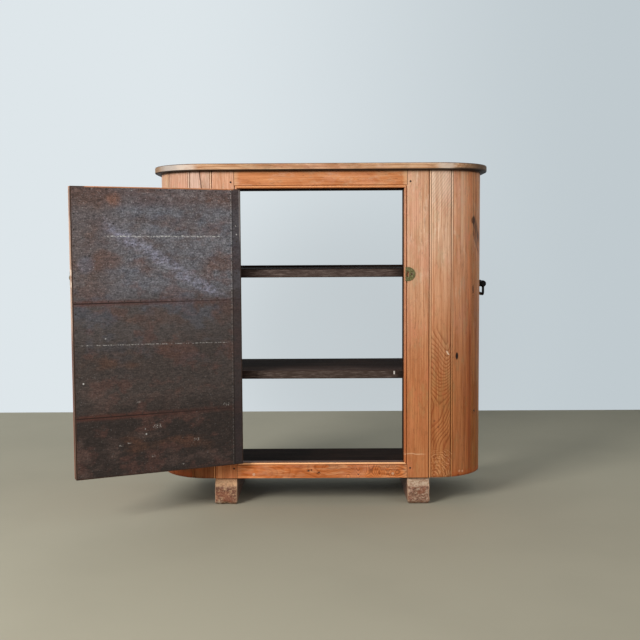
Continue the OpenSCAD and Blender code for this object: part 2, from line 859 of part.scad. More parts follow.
module bail_half() {
    grip_l = arm_y - bend_r - grip_end;
    translate([0, boss_end - boss_l + 1, 0]) rotate([-90, 0, 0])
        cylinder(d = pintle_d, h = boss_l + bail_eye_w / 2);
    translate([0, arm_y - bail_eye_w / 2, 0]) rotate([-90, 0, 0])
        cylinder(d = bail_eye_d, h = bail_eye_w);
    translate([0, arm_y, bend_r - bail_drop]) cylinder(d = bail_d, h = bail_drop - bend_r);
    translate([0, arm_y - bend_r, bend_r - bail_drop]) rotate([90, 0, 90]) rotate([0, 0, -90])
        rotate_extrude(angle = 90) translate([bend_r, 0]) circle(d = bail_d);
    translate([0, 0, -bail_drop]) rotate([-90, 0, 0]) {
        cylinder(d1 = grip_d, d2 = bail_d, h = grip_l);
        translate([0, 0, grip_l]) cylinder(d = bail_d, h = arm_y - bend_r - grip_l);
    }
}
module handle_bail(side) {
    color(iron) at_handle(side) translate([handle_reach, 0, 0]) {
        bail_half();
        mirror([0, 1, 0]) bail_half();
    }
}
module handle_screws() {
    color(iron) for (side = [-1, 1]) at_handle(side) {
        handle_screw_shanks();
        handle_screw_places() translate([0, 0, handle_plate_t])
            cylinder(d1 = screw_head_d, d2 = screw_head_d - 2, h = handle_screw_head_h, $fn = 32);
    }
}

top_board();
top_former();
floor_board();
shelf(lower_shelf_z, shelf_back);  // lower_shelf
shelf(upper_shelf_z, shelf_back - lip_t);  // upper_shelf
left_stile();
right_stile();
top_rail();
bottom_rail();
frame_pegs();
end_board(-1, 0);  // left_end_board_1
end_board(-1, 1);  // left_end_board_2
end_board(-1, 2);  // left_end_board_3
end_board(-1, 3);  // left_end_board_4
end_board(-1, 4);  // left_end_board_5
end_board(-1, 5);  // left_end_board_6
end_board(1, 0);  // right_end_board_1
end_board(1, 1);  // right_end_board_2
end_board(1, 2);  // right_end_board_3
end_board(1, 3);  // right_end_board_4
end_board(1, 4);  // right_end_board_5
end_board(1, 5);  // right_end_board_6
rear_post(-1);  // left_rear_post
rear_post(1);  // right_rear_post
shelf_lip();
shelf_cleats();
lining(-1);  // left_lining
lining(1);  // right_lining
door_stop_side();
door_stop_top();
foot(-1);  // left_foot
foot(1);  // right_foot
door_hinge_stile();
door_lock_stile();
door_rail(door_z1 - door_top_rail_h, door_z1);  // door_top_rail
door_rail(middle_rail_z0, middle_rail_z1);  // door_middle_rail
door_rail(door_z0, door_z0 + door_bottom_rail_h);  // door_bottom_rail
door_upper_panel();
door_lower_panel();
door_tin(2);  // door_tin_top
door_tin(1);  // door_tin_middle
door_tin(0);  // door_tin_bottom
tin_sheet(strip_x - tin_strip_w, strip_x, tin_z0, tin_z1);  // door_tin_strip
door_tacks();
case_leaf(1);  // upper_hinge_case_leaf
door_leaf(1);  // upper_hinge_door_leaf
case_leaf(0);  // lower_hinge_case_leaf
door_leaf(0);  // lower_hinge_door_leaf
hinge_pins();
case_hinge_screws();
door_hinge_screws();
turn_plate();
turn_knob();
turn_tongue();
strike_plate();
strike_screw();
handle_plate(-1);  // left_handle_plate
handle_bail(-1);  // left_handle_bail
handle_plate(1);  // right_handle_plate
handle_bail(1);  // right_handle_bail
handle_screws();
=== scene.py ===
import json
import math
import random

import bmesh
import bpy
from mathutils import Matrix, Vector, noise


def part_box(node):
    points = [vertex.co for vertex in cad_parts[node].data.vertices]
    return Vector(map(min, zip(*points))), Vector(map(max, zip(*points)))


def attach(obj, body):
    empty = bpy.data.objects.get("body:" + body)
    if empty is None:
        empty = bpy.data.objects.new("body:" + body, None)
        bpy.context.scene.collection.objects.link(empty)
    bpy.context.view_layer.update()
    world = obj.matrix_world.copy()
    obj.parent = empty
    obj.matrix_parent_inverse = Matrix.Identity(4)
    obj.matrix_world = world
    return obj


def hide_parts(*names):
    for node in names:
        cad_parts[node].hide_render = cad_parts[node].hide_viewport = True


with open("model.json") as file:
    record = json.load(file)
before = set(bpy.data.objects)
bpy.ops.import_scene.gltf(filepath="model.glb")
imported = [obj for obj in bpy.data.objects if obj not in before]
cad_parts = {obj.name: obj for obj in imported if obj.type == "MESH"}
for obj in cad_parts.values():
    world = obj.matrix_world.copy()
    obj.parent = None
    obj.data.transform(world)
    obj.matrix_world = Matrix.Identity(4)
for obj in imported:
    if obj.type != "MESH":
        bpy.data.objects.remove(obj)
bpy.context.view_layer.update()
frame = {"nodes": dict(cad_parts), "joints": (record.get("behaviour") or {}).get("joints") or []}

# The room and the camera: a pale floor and a plain wall, seen from a little above the middle of the case. The
# wall shows its colours to the camera as they are written, with painted shading: darker towards the right and
# a painted shadow behind the case. It shows from its front only, so that the back of the case can be looked
# at.
EYE = Vector((0.01316, -3.30535, 0.82529))
LOOK_DOWN = 0.07339
TURN_RIGHT = -0.00557
ROLL = -0.00545
LENS = 55.2
SENSOR = 36
FLOOR_COLOUR = "AAA38E"
WALL_COLOUR = "DEE6EA"
WALL_SHADED_RIGHT_COLOUR = "C0CACF"
WALL_SHADE_COLOUR = "B4BCC0"
ROOM = 9
WALL_Y = 1.62
WALL_TOP = 6
SHOWN_TO = ("Is Camera Ray", "Is Glossy Ray", "Is Transmission Ray")


def tone(code):
    """A colour written as on a paint chart, as the linear values that the shader wants."""
    parts = [int(code[k : k + 2], 16) / 255 for k in (0, 2, 4)]
    return tuple(((p + 0.055) / 1.055) ** 2.4 if p > 0.04045 else p / 12.92 for p in parts) + (1.0,)


class Wire:
    """One output of a finish's nodes. Python's operators on it add Math nodes."""

    def __init__(self, finish, socket):
        self.finish = finish
        self.socket = socket

    def math(self, operation, *others):
        """A Math node with this output as its first number."""
        return self.finish.math(operation, self, *others)

    def __add__(self, other):
        return self.math("ADD", other)

    __radd__ = __add__

    def __sub__(self, other):
        return self.math("SUBTRACT", other)

    def __rsub__(self, other):
        return self.finish.math("SUBTRACT", other, self)

    def __mul__(self, other):
        return self.math("MULTIPLY", other)

    __rmul__ = __mul__

    def __truediv__(self, other):
        return self.math("DIVIDE", other)

    def line(self, at, edge, core):
        """1 within core of a value, 0 beyond edge of it."""
        return (self - at).math("ABSOLUTE").fade(edge, core)

    def fade(self, start, end):
        """0 up to start and 1 from end on, smooth between them, whichever is the larger."""
        settings = {"interpolation_type": "SMOOTHSTEP"}
        return self.finish.node("ShaderNodeMapRange", settings, {0: self, 1: start, 2: end})


class Finish:
    """A finish being mixed: its colour, roughness and relief, until close() puts them on the shader."""

    def __init__(self, name, colour, roughness=0.6):
        self.material = bpy.data.materials.new(name)
        self.material.use_nodes = True
        self.shader = self.material.node_tree.nodes["Principled BSDF"]
        self.at = self.node("ShaderNodeTexCoord", {}, {}, "Object")
        self.colour = tone(colour)
        self.roughness = roughness
        self.relief = None

    def node(self, kind, settings, inputs, output=0):
        made = self.material.node_tree.nodes.new(kind)
        for name, value in settings.items():
            if name == "stops":
                for k, (at, grey) in enumerate(value):
                    stop = made.color_ramp.elements[k] if k < 2 else made.color_ramp.elements.new(at)
                    stop.position = at
                    stop.color = (grey, grey, grey, 1)
            else:
                setattr(made, name, value)
        for key, value in inputs.items():
            if isinstance(value, Wire):
                self.material.node_tree.links.new(value.socket, made.inputs[key])
            else:
                made.inputs[key].default_value = value
        return Wire(self, made.outputs[output])

    def math(self, operation, *values):
        return self.node("ShaderNodeMath", {"operation": operation}, dict(enumerate(values)))

    def vector(self, operation, *values, output=0):
        return self.node("ShaderNodeVectorMath", {"operation": operation}, dict(enumerate(values)), output)

    def split(self, place):
        """The three numbers of a place."""
        return [self.node("ShaderNodeSeparateXYZ", {}, {0: place}, k) for k in range(3)]

    def join(self, x, y, z):
        """A place from three numbers."""
        return self.node("ShaderNodeCombineXYZ", {}, {0: x, 1: y, 2: z})

    def noise(self, stretch, detail=2.0, rough=0.5, output=0, at=None):
        """Soft random spots, with stretch to the metre along each axis, or the same along all three."""
        if not isinstance(stretch, tuple):
            stretch = (stretch,) * 3
        scaled = self.vector("MULTIPLY", at or self.at, stretch)
        inputs = {"Vector": scaled, "Scale": 1.0, "Detail": detail, "Roughness": rough}
        return self.node("ShaderNodeTexNoise", {}, inputs, output)

    def wobble(self, stretch, width, detail=2.0, rough=0.5):
        """A random shift to either side, at most half the width."""
        return (self.noise(stretch, detail, rough) - 0.5) * width

    def mix(self, amount, low, high, blend="MIX"):
        settings = {"data_type": "RGBA", "blend_type": blend}
        return self.node("ShaderNodeMix", settings, {0: amount, 6: low, 7: high}, 2)

    def stain(self, amount, colour):
        """Covers the finish with another colour by an amount from 0 to 1."""
        self.colour = self.mix(amount, self.colour, tone(colour))

    def shade(self, amount, factor):
        """Darkens or lightens the finish by a factor, by an amount from 0 to 1."""
        self.colour = self.mix(amount, self.colour, (factor, factor, factor, 1), "MULTIPLY")

    def weigh(self, factor):
        """Darkens or lightens the finish by a factor that varies from place to place."""
        self.colour = self.vector("MULTIPLY", self.colour, factor)

    def spot(self, centre, radius, soft=0.5):
        """1 inside a round spot, 0 outside, with a soft edge."""
        distance = self.vector("DISTANCE", self.at, centre, output="Value")
        return distance.fade(radius, radius * (1 - soft))

    def crevices(self, reach):
        """1 in corners and grooves narrower than reach, 0 on open faces."""
        open_share = self.node("ShaderNodeAmbientOcclusion", {"samples": 6}, {"Distance": reach}, "AO")
        return open_share.fade(0.85, 0.25)

    def close(self, depth=0.0, **constants):
        """Puts the finish on the shader. depth is the height of the relief in metres."""
        links = self.material.node_tree.links
        for name, value in (("Base Color", self.colour), ("Roughness", self.roughness)):
            if isinstance(value, Wire):
                links.new(value.socket, self.shader.inputs[name])
            else:
                self.shader.inputs[name].default_value = value
        if self.relief is not None and depth:
            bump = self.node("ShaderNodeBump", {}, {"Height": self.relief, "Distance": depth})
            links.new(bump.socket, self.shader.inputs["Normal"])
        for name, value in constants.items():
            self.shader.inputs[name.replace("_", " ").title().replace("Ior", "IOR")].default_value = value
        return self.material


def plane(name, corners, material):
    """A flat stage piece between four corners."""
    mesh = bpy.data.meshes.new(name)
    bm = bmesh.new()
    bm.faces.new([bm.verts.new(c) for c in corners])
    bm.to_mesh(mesh)
    bm.free()
    mesh.materials.append(material)
    made = bpy.data.objects.new(name, mesh)
    bpy.context.scene.collection.objects.link(made)


floor = Finish("pale_floor", FLOOR_COLOUR, 0.75)
floor.shade(floor.noise((2, 2, 1), 5).fade(0.4, 0.7), 0.95)
plane("floor", [(-ROOM, -ROOM, 0), (ROOM, -ROOM, 0), (ROOM, ROOM, 0), (-ROOM, ROOM, 0)], floor.close())

wall = Finish("pale_wall", WALL_COLOUR, 0.9)
# Painted shading on the wall: darker towards the right, and a painted shadow behind the case.
wall.stain(wall.split(wall.at)[0].fade(-0.9, 1.5), WALL_SHADED_RIGHT_COLOUR)
wall.stain(wall.spot((0.1, WALL_Y, 0.35), 1.1, 0.8) * 0.55, WALL_SHADE_COLOUR)
wall_material = wall.close()
behind = wall.node("ShaderNodeNewGeometry", {}, {}, "Backfacing")
clear = wall.node("ShaderNodeBsdfTransparent", {}, {})
lit = Wire(wall, wall.shader.outputs[0])
even = wall.node("ShaderNodeEmission", {}, {"Color": wall.colour, "Strength": 1.0})
straight, mirrored, through = (wall.node("ShaderNodeLightPath", {}, {}, ray) for ray in SHOWN_TO)
front = wall.node("ShaderNodeMixShader", {}, {0: straight + mirrored + through, 1: lit, 2: even})
one_sided = wall.node("ShaderNodeMixShader", {}, {0: behind, 1: front, 2: clear})
output = wall_material.node_tree.nodes["Material Output"]
wall_material.node_tree.links.new(one_sided.socket, output.inputs["Surface"])
wall_corners = [(-ROOM, WALL_Y, 0), (ROOM, WALL_Y, 0), (ROOM, WALL_Y, WALL_TOP), (-ROOM, WALL_Y, WALL_TOP)]
plane("backdrop", wall_corners, wall_material)

lens = bpy.data.cameras.new("photo_camera")
lens.lens = LENS
lens.sensor_width = SENSOR
camera = bpy.data.objects.new("photo_camera", lens)
camera.matrix_world = (
    Matrix.Translation(EYE)
    @ Matrix.Rotation(-TURN_RIGHT, 4, "Z")
    @ Matrix.Rotation(math.pi / 2 - LOOK_DOWN, 4, "X")
    @ Matrix.Rotation(ROLL, 4, "Z")
)
bpy.context.scene.collection.objects.link(camera)
bpy.context.scene.camera = camera

# The light: a large soft lamp high up at the front left, a weaker one at the right, and an even pale sky,
# which the camera and mirrors see in the colour of the wall.
LAMPS = [
    ("window", (-2.9, -3.6, 2.3), 1.8, 210),
    ("bounce", (3.2, -3.4, 1.9), 2.2, 42),
]
LAMP_AIM = Vector((0, 0, 0.6))
SKY_COLOUR = "F4F7FA"
SKY_STRENGTH = 0.32

for name, place, size, power in LAMPS:
    light = bpy.data.lights.new(name, "AREA")
    light.size = size
    light.energy = power
    lamp = bpy.data.objects.new(name, light)
    lamp.location = place
    lamp.rotation_euler = (LAMP_AIM - Vector(place)).to_track_quat("-Z", "Y").to_euler()
    bpy.context.scene.collection.objects.link(lamp)

sky = bpy.data.worlds.new("pale_sky")
sky.use_nodes = True
sky_nodes = sky.node_tree.nodes
sky_links = sky.node_tree.links
glow = sky_nodes["Background"]
glow.inputs["Color"].default_value = tone(SKY_COLOUR)
glow.inputs["Strength"].default_value = SKY_STRENGTH
seen = sky_nodes.new("ShaderNodeBackground")
seen.inputs["Color"].default_value = tone(WALL_COLOUR)
rays = sky_nodes.new("ShaderNodeLightPath")
shown = rays.outputs[SHOWN_TO[0]]
for ray in SHOWN_TO[1:]:
    total = sky_nodes.new("ShaderNodeMath")
    sky_links.new(shown, total.inputs[0])
    sky_links.new(rays.outputs[ray], total.inputs[1])
    shown = total.outputs[0]
choose = sky_nodes.new("ShaderNodeMixShader")
for k, socket in enumerate((shown, glow.outputs[0], seen.outputs[0])):
    sky_links.new(socket, choose.inputs[k])
sky_links.new(choose.outputs[0], sky_nodes["World Output"].inputs["Surface"])
bpy.context.scene.world = sky
bpy.context.scene.view_settings.view_transform = "Standard"

# The two runner feet: old pine blocks from front to back, sloped at the top of each end, rounded and
# chipped along their lower edges by a century of dragging, with the end grain showing.
FOOT_EASE = 0.003
FOOT_SLICE = 0.006
FOOT_WEAR = 0.0022
FOOT_RELIEF = 0.0012
WORN_ENDS = 0.05
SAME_POINT = 2e-6
SAME_FACE = math.radians(0.4)
FEET = {
    "left_foot": (-1, "70442C", "E0B084", "54291A", "D6AE84", Vector((-0.309, -0.192, 0.0)), 0.013),
    "right_foot": (1, "8A5F47", "C6AC90", "4A3226", "C9B29A", Vector((0.292, -0.192, 0.003)), 0.007),
}
HARDWARE_ROOM = 0.012


def copied(node):
    """A bmesh of a CAD node, its loose triangles joined into whole flat faces."""
    bm = bmesh.new()
    bm.from_mesh(frame["nodes"][node].data)
    bmesh.ops.remove_doubles(bm, verts=bm.verts, dist=SAME_POINT)
    bmesh.ops.dissolve_limit(bm, angle_limit=SAME_FACE, verts=bm.verts, edges=bm.edges)
    return bm


def ease_edges(bm, radius, sharper_than=32, segments=2, spared=()):
    """Rounds every edge that is sharper than an angle, except round the hardware let into the wood."""
    boxes = [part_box(hardware) for hardware in spared]

    def by_hardware(edge):
        middle = (edge.verts[0].co + edge.verts[1].co) / 2
        return any(
            all(low[k] - HARDWARE_ROOM < middle[k] < high[k] + HARDWARE_ROOM for k in range(3))
            for low, high in boxes
        )

    sharp = [e for e in bm.edges if e.is_manifold and e.calc_face_angle() > math.radians(sharper_than)]
    sharp = [e for e in sharp if not by_hardware(e)]
    bmesh.ops.bevel(
        bm, geom=sharp, offset=radius, offset_type="OFFSET", affect="EDGES", segments=segments,
        profile=0.5, material=-1, clamp_overlap=False,
    )


def finished(bm, name, body, material, replaced=(), smooth_below=40):
    """Makes a piece of a bmesh, rides it on its body and gives it its finish."""
    mesh = bpy.data.meshes.new(name)
    bm.to_mesh(mesh)
    bm.free()
    mesh.shade_smooth()
    mesh.set_sharp_from_angle(angle=math.radians(smooth_below))
    mesh.materials.append(material)
    piece = bpy.data.objects.new(name, mesh)
    bpy.context.scene.collection.objects.link(piece)
    even_shading = piece.modifiers.new("even_shading", "WEIGHTED_NORMAL")
    even_shading.keep_sharp = True
    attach(piece, body)
    if replaced:
        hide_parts(*replaced)


def slice_along(bm, axis, step):
    """Cuts the whole of a bmesh with planes square to an axis, a step apart."""
    values = [v.co[axis] for v in bm.verts]
    start, length = min(values), max(values) - min(values)
    normal = Vector([1.0 if k == axis else 0.0 for k in range(3)])
    count = int(length / step)
    for k in range(1, count):
        at = normal * (start + k * length / count)
        geometry = bm.verts[:] + bm.edges[:] + bm.faces[:]
        bmesh.ops.bisect_plane(bm, geom=geometry, plane_co=at, plane_no=normal)


def timber(name, pale, deep, order="xyz", heart=(0.0, 0.06), ring_gap=0.0065, sway=0.012, taper=0.02,
           figure=0.5, lean=None, climb=None, place=None, seed=0.0, roughness=0.55):
    """Wood cut from a trunk whose heart runs along the last axis in order, at a place on the first two. The
    heart shifts sideways by lean, and the rings are cut at a slant by climb: how far, from where to where."""
    wood = Finish(name, pale, roughness)
    if place:
        wood.at = place(wood)
    wood.x, wood.y, wood.z = wood.split(wood.at)
    parts = {"x": wood.x, "y": wood.y, "z": wood.z}
    shift = (seed, seed * 1.7, seed * 2.3)
    moved = wood.vector("ADD", wood.join(*(parts[axis] for axis in order)), shift)
    bend = wood.noise((5, 5, 2.6), output=1, at=moved)
    bend = wood.vector("SUBTRACT", bend, (0.5, 0.5, 0.5))
    bend = wood.vector("MULTIPLY", bend, (sway * 2, sway * 2, 0))
    grain = wood.vector("SUBTRACT", wood.vector("ADD", moved, bend), shift)
    across, deepness, along = wood.split(grain)
    if lean:
        across = across + lean[0] * along.fade(lean[1], lean[2])
    flat = wood.join(across, deepness, 0.0)
    wood.reach = wood.vector("DISTANCE", flat, (*heart, 0), output="Value") + along * taper
    if climb:
        wood.reach = wood.reach + climb[0] * along.fade(climb[1], climb[2])
    wood.knot_shadow = None
    wood.figure = figure
    wood.facts = (moved, ring_gap, deep)
    return wood


def knot(wood, centre, radius, lift=1.6, dark=True):
    """Bends the rings round a knot and remembers its dark eye. Centre is a place in the case."""
    away = wood.vector("MULTIPLY", wood.vector("SUBTRACT", wood.at, centre), (1, 1, 0.5))
    distance = wood.vector("LENGTH", away, output="Value")
    wood.reach = wood.reach + distance.fade(radius * 4.5, radius * 0.4) * (radius * lift)
    if dark:
        eye = distance.fade(radius, radius * 0.55)
        shadow = eye.math("MAXIMUM", distance.fade(radius * 2.4, radius) * 0.4)
        wood.knot_shadow = shadow.math("MAXIMUM", wood.knot_shadow) if wood.knot_shadow else shadow


def show_grain(wood, strength=1.0, blotch=1.0):
    """Paints the rings, the fibres, the knots and the old blotches on a wood finish."""
    moved, ring_gap, deep = wood.facts

    def specks(stretch, detail=3.0, rough=0.6):
        return wood.noise(stretch, detail, rough, at=moved)

    rings = wood.reach / ring_gap + specks((22, 22, 1.2), 2.0, 0.5) * 1.6
    wood.ring = wood.node(
        "ShaderNodeValToRGB",
        {"stops": [(0.0, 0.08), (1.0, 0.05), (0.5, 0.22), (0.78, 0.8), (0.9, 1.0)]},
        {0: rings.math("FRACT")},
    )
    wood.fibre = specks((420, 420, 7)).fade(0.35, 0.66)
    wood.patch = specks((9, 9, 3), 3.0, 0.55).fade(0.35, 0.7)
    streak = specks((170, 170, 5), 3.0, 0.7).fade(0.4, 0.62)
    broad = specks((42, 42, 1.4)).fade(0.38, 0.66)
    amount = wood.ring * (0.35 + 0.65 * wood.patch) * wood.figure
    amount = amount + (streak * 0.5 + broad * 0.34 + wood.fibre * 0.24) * strength
    wood.colour = wood.mix(amount.math("MINIMUM", 1.0), wood.colour, tone(deep))
    if blotch:
        wood.stain(specks((21, 21, 11), 4.0, 0.65).fade(0.5, 0.64) * 0.42 * blotch, "D79A80")
        wood.stain(specks((26, 26, 10), 4.0, 0.7).fade(0.53, 0.66) * 0.46 * blotch, "B9A383")
        bleached = specks((70, 70, 18), 5.0, 0.75).fade(0.53, 0.68) * wood.z.fade(0.3, 0.9)
        wood.stain(bleached * 0.3 * blotch, "E9D2BC")
        rubbed = specks((130, 130, 34), 4.0, 0.7).fade(0.54, 0.68)
        wood.shade(rubbed * 0.6 * blotch, 0.7)
    dents = specks((330, 330, 70), 2.0).fade(0.64, 0.72)
    wood.shade(dents * 0.6, 0.55)
    if wood.knot_shadow:
        wood.stain(wood.knot_shadow * 0.9, "331B10")
    wood.relief = wood.fibre * 0.4 + wood.ring * 0.4 + streak * 0.4 - dents * 0.6


for foot, (side, end_colour, lit_slope_colour, dark, pale, gouge, gouge_r) in FEET.items():
    low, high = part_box(foot)
    middle = (low + high) / 2
    half_foot = (high.x - low.x) / 2
    heart = (middle.x + side * 0.012, 0.05)
    old = timber(foot + "_pine", "B48F70", "78503A", "xzy", heart, ring_gap=0.0075, sway=0.02, taper=0.0,
                 seed=2.0 + side)
    show_grain(old, 0.8)
    front = old.y.fade(low.y + 0.045, low.y + 0.012)
    end_grain = old.y.fade(low.y + 0.006, low.y + 0.001) * old.z.fade(high.z - 0.026, high.z - 0.033)
    coarse = old.noise((110, 110, 150), 5.0, 0.8)
    old.stain(end_grain * 0.7, end_colour)
    # Painted light: the sloped top of each end paler, as if lit from above, and the left one paler still
    # where the door shades it.
    old.stain(old.z.fade(high.z - 0.032, high.z - 0.022) * front * 0.8, lit_slope_colour)
    old.stain(front * coarse.fade(0.5, 0.58) * 0.6, "86502E")
    old.stain(end_grain * coarse.fade(0.5, 0.58) * 0.75, dark)
    old.stain(front * coarse.fade(0.48, 0.41) * 0.6, pale)
    old.stain(end_grain * old.noise((28, 28, 40), 3.0).fade(0.5, 0.6) * 0.45, "8E4A2A")
    corner = (old.x - middle.x).math("ABSOLUTE").fade(half_foot - 0.005, half_foot - 0.001)
    old.stain(corner * front * 0.55, "CFA888")
    # Painted shade: the runner darker behind its front end, where it stands under the case.
    old.stain(old.y.fade(low.y + 0.006, low.y + 0.03) * 0.75, "5A3422")
    old.stain(old.z.fade(0.014, 0.004) * old.noise(50, 4.0).fade(0.5, 0.62) * front, "CDB79C")
    # Painted shade in the corners of the foot and where it meets the case.
    old.stain(old.crevices(0.01) * 0.7, "2B1D14")
    old.relief = old.relief + coarse * 1.5

    bm = copied(foot)
    ease_edges(bm, FOOT_EASE, sharper_than=20, segments=3)
    for axis, step in enumerate((FOOT_SLICE, FOOT_SLICE * 2, FOOT_SLICE)):
        slice_along(bm, axis, step)
    bm.normal_update()
    for v in bm.verts:
        rough = noise.fractal(v.co * 45, 1.0, 2.0, 3)
        near_end = max(0.0, 1 - min(v.co.y - low.y, high.y - v.co.y) / WORN_ENDS)
        worn = FOOT_WEAR * (0.15 + 0.85 * near_end) * (0.5 + rough)
        v.co -= v.normal * max(0.0, worn) * min(1.0, v.co.z / 0.006)
        v.co += Vector((0, 0.7, 0.7)) * max(0.0, gouge_r - (v.co - gouge).length) * 0.6
        v.co.z = max(v.co.z, low.z)
    bmesh.ops.recalc_face_normals(bm, faces=bm.faces)
    finished(bm, "worn_" + foot, "case", old.close(FOOT_RELIEF), [foot], smooth_below=50)

# The floor board, the two shelves, their cleats and the strips that the door shuts against: deal boards with
# old dark brown paint, smoked by a hundred winters in front of the fire, rubbed on the front edges.
SHELF_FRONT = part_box("door_stop_side")[1].y
SHELF_EASE = 0.0012
PAINT_RELIEF = 0.0006
PAINT_GLOSS = 0.06
LET_IN = {
    "left_stile": ("upper_hinge_case_leaf", "lower_hinge_case_leaf"),
    "right_stile": ("strike_plate", "strike_screw"),
    "door_hinge_stile": ("upper_hinge_door_leaf", "lower_hinge_door_leaf"),
    "door_lock_stile": ("turn_plate", "turn_tongue"),
}


def eased(node, radius, material, name_end="_wood", body="case"):
    """Makes a wooden CAD node again with its edges eased, but not round the hardware let into it."""
    bm = copied(node)
    ease_edges(bm, radius, spared=LET_IN.get(node, ()))
    finished(bm, node + name_end, body, material, [node])


def smoked(name, order="zyx", seed=0.0):
    """Dark brown paint over wood, with the grain just showing."""
    paint = timber(name, "32241D", "1C120D", order, (0.0, 0.09), ring_gap=0.007, sway=0.02, taper=0.01,
                   figure=0.6, seed=seed, roughness=0.85)
    show_grain(paint, 1.0, 0.0)
    paint.stain(paint.noise(7, 4.0).fade(0.45, 0.7) * 0.6, "34241B")
    return paint


def painted(node, paint, name_end):
    """Makes a painted board again."""
    dull = paint.close(PAINT_RELIEF, specular_ior_level=PAINT_GLOSS)
    eased(node, SHELF_EASE, dull, name_end)


for shelf, seed in (("lower_shelf", 3.0), ("upper_shelf", 5.0)):
    lower = shelf == "lower_shelf"
    paint = smoked(shelf + "_paint", seed=seed)
    low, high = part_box(shelf)
    near_front = paint.y.fade(0.0, SHELF_FRONT) * paint.z.fade(high.z - 0.002, high.z - 0.0005)
    paint.stain(near_front * (0.7 if lower else 0.15), "50403A")
    front = paint.y.fade(SHELF_FRONT + 0.003, SHELF_FRONT + 0.001)
    face = front * paint.z.fade(low.z + 0.001, low.z + 0.003) * paint.z.fade(high.z - 0.001, high.z - 0.003)
    streaks = paint.noise((26, 40, 300), 5.0, 0.8)
    paint.stain(face * 0.95, "443832" if lower else "4C3F3A")
    paint.stain(face * streaks.fade(0.5, 0.62) * 0.5, "7F7068")
    paint.stain(face * streaks.fade(0.48, 0.38) * 0.55, "2E221C")
    # Painted shade: the ends of the front edge darker, where the stiles and stops shade them.
    paint.stain(paint.x.math("ABSOLUTE").fade(0.215, 0.262) * face * 0.8, "1E1612")
    if lower:
        chip = paint.z.line(high.z - 0.008, 0.0065, 0.004) * paint.x.line(0.2345, 0.003, 0.0012)
        paint.stain(chip * front * 0.9, "DAD6CF")
        tracks = paint.noise((7, 60, 7), 4.0, 0.7).fade(0.5, 0.62)
        paint.stain(tracks * near_front * 0.5, "6E5C52")
    painted(shelf, paint, "_board")

for board, order in (("floor_board", "zyx"), ("shelf_lip", "zyx"), ("shelf_cleats", "xzy"),
                     ("door_stop_top", "zyx"), ("door_stop_side", "xyz")):
    painted(board, smoked(board + "_paint", order, seed=7.0), "_dark")

# The front frame: two stiles and two rails of pine, mortised, tenoned and pegged, with a bead run round the
# doorway and down the outer edges. Stripping bleached the top and left the foot of it a warm orange brown.
FRAME_EASE = 0.0007
PINE_RELIEF = 0.0005
PINE_GLOSS = 0.2
BEAD_W = 0.009
BEAD_MIDDLE = 0.003
FOOT_Z, TOP_Z = (corner.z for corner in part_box("left_stile"))
FACE_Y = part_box("left_stile")[0].y
TOP_RAIL_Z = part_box("top_rail")[0].z + BEAD_W
BOTTOM_RAIL_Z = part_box("bottom_rail")[1].z - BEAD_W
SHOULDER_X = 0.2731
STILE_EDGE = 0.349
JOINT_HALF = 0.0004
JOINT_SOFT = 0.0013
SCRATCH_Z = 0.164
WARM_TOP = 0.92
WARM_FOOT = 0.33
RAIL_KNOTS = ((0.02, 0.100, 0.007), (0.085, 0.112, 0.009), (0.15, 0.098, 0.010), (0.21, 0.11, 0.007))
RAIL_DENTS = ((-0.0443, 0.1112, 0.007), (-0.0346, 0.1134, 0.004), (-0.0122, 0.1046, 0.008))


def warm_to_foot(wood, glaze):
    """Turns the stripped wood browner towards the floor, like a glaze that leaves its grain to show."""
    ragged = wood.z + wood.wobble((6, 6, 1.5), 0.2, 3.0)
    wood.colour = wood.mix(ragged.fade(WARM_TOP, WARM_FOOT), wood.colour, tone(glaze), "MULTIPLY")


def bead_highlight(wood, run, joint):
    """A painted highlight along the top of the bead beside a joint."""
    wood.stain(run.line(joint - BEAD_MIDDLE, 0.0026, 0.0012) * 0.6, "EBC8A6")


def shade_and_grime(wood):
    """Painted shade, with dark wax and dirt, in the joints and grooves, and a painted shadow right under the
    top.
    """
    wood.stain(wood.crevices(0.003) * 0.35, "6E3614")
    wood.stain(wood.z.fade(TOP_Z - 0.0065, TOP_Z - 0.0015) * 0.75, "3A2214")


def waxed(wood):
    """A thin old wax finish: rougher where the wood is open."""
    wood.roughness = 0.42 + 0.22 * wood.fibre
    return wood.close(PINE_RELIEF, specular_ior_level=PINE_GLOSS)


for stile, heart, pale, deep in (
    ("left_stile", (-0.40, -0.17), "ECBC9C", "C18763"),
    ("right_stile", (0.44, -0.16), "DBB08F", "BC8967"),
):
    wood = timber(stile + "_pine", pale, deep, "xyz", heart, ring_gap=0.0052, sway=0.006, taper=0.004,
                  figure=0.45, seed=heart[0] * 9)
    show_grain(wood, 1.25)
    side = wood.x.math("ABSOLUTE")
    wood.stain(side.fade(SHOULDER_X, SHOULDER_X - 0.002) * 0.35, "CC7848")
    bead_highlight(wood, side, STILE_EDGE)
    warm_to_foot(wood, "E9C49C")
    at_rail = wood.z.fade(TOP_RAIL_Z - 0.002, TOP_RAIL_Z) + wood.z.fade(BOTTOM_RAIL_Z + 0.002, BOTTOM_RAIL_Z)
    wood.stain(side.line(SHOULDER_X, JOINT_SOFT, JOINT_HALF) * at_rail * 0.75, "4A2A16")
    wood.stain(side.line(STILE_EDGE, JOINT_SOFT, JOINT_HALF) * 0.5, "6A3212")
    if stile == "right_stile":
        scratch = (wood.z + wood.wobble(40, 0.01)).line(SCRATCH_Z, 0.003, 0.0008)
        wood.stain(scratch * wood.x.fade(0.34, 0.31) * 0.5, "E2B890")
    shade_and_grime(wood)
    eased(stile, FRAME_EASE, waxed(wood))

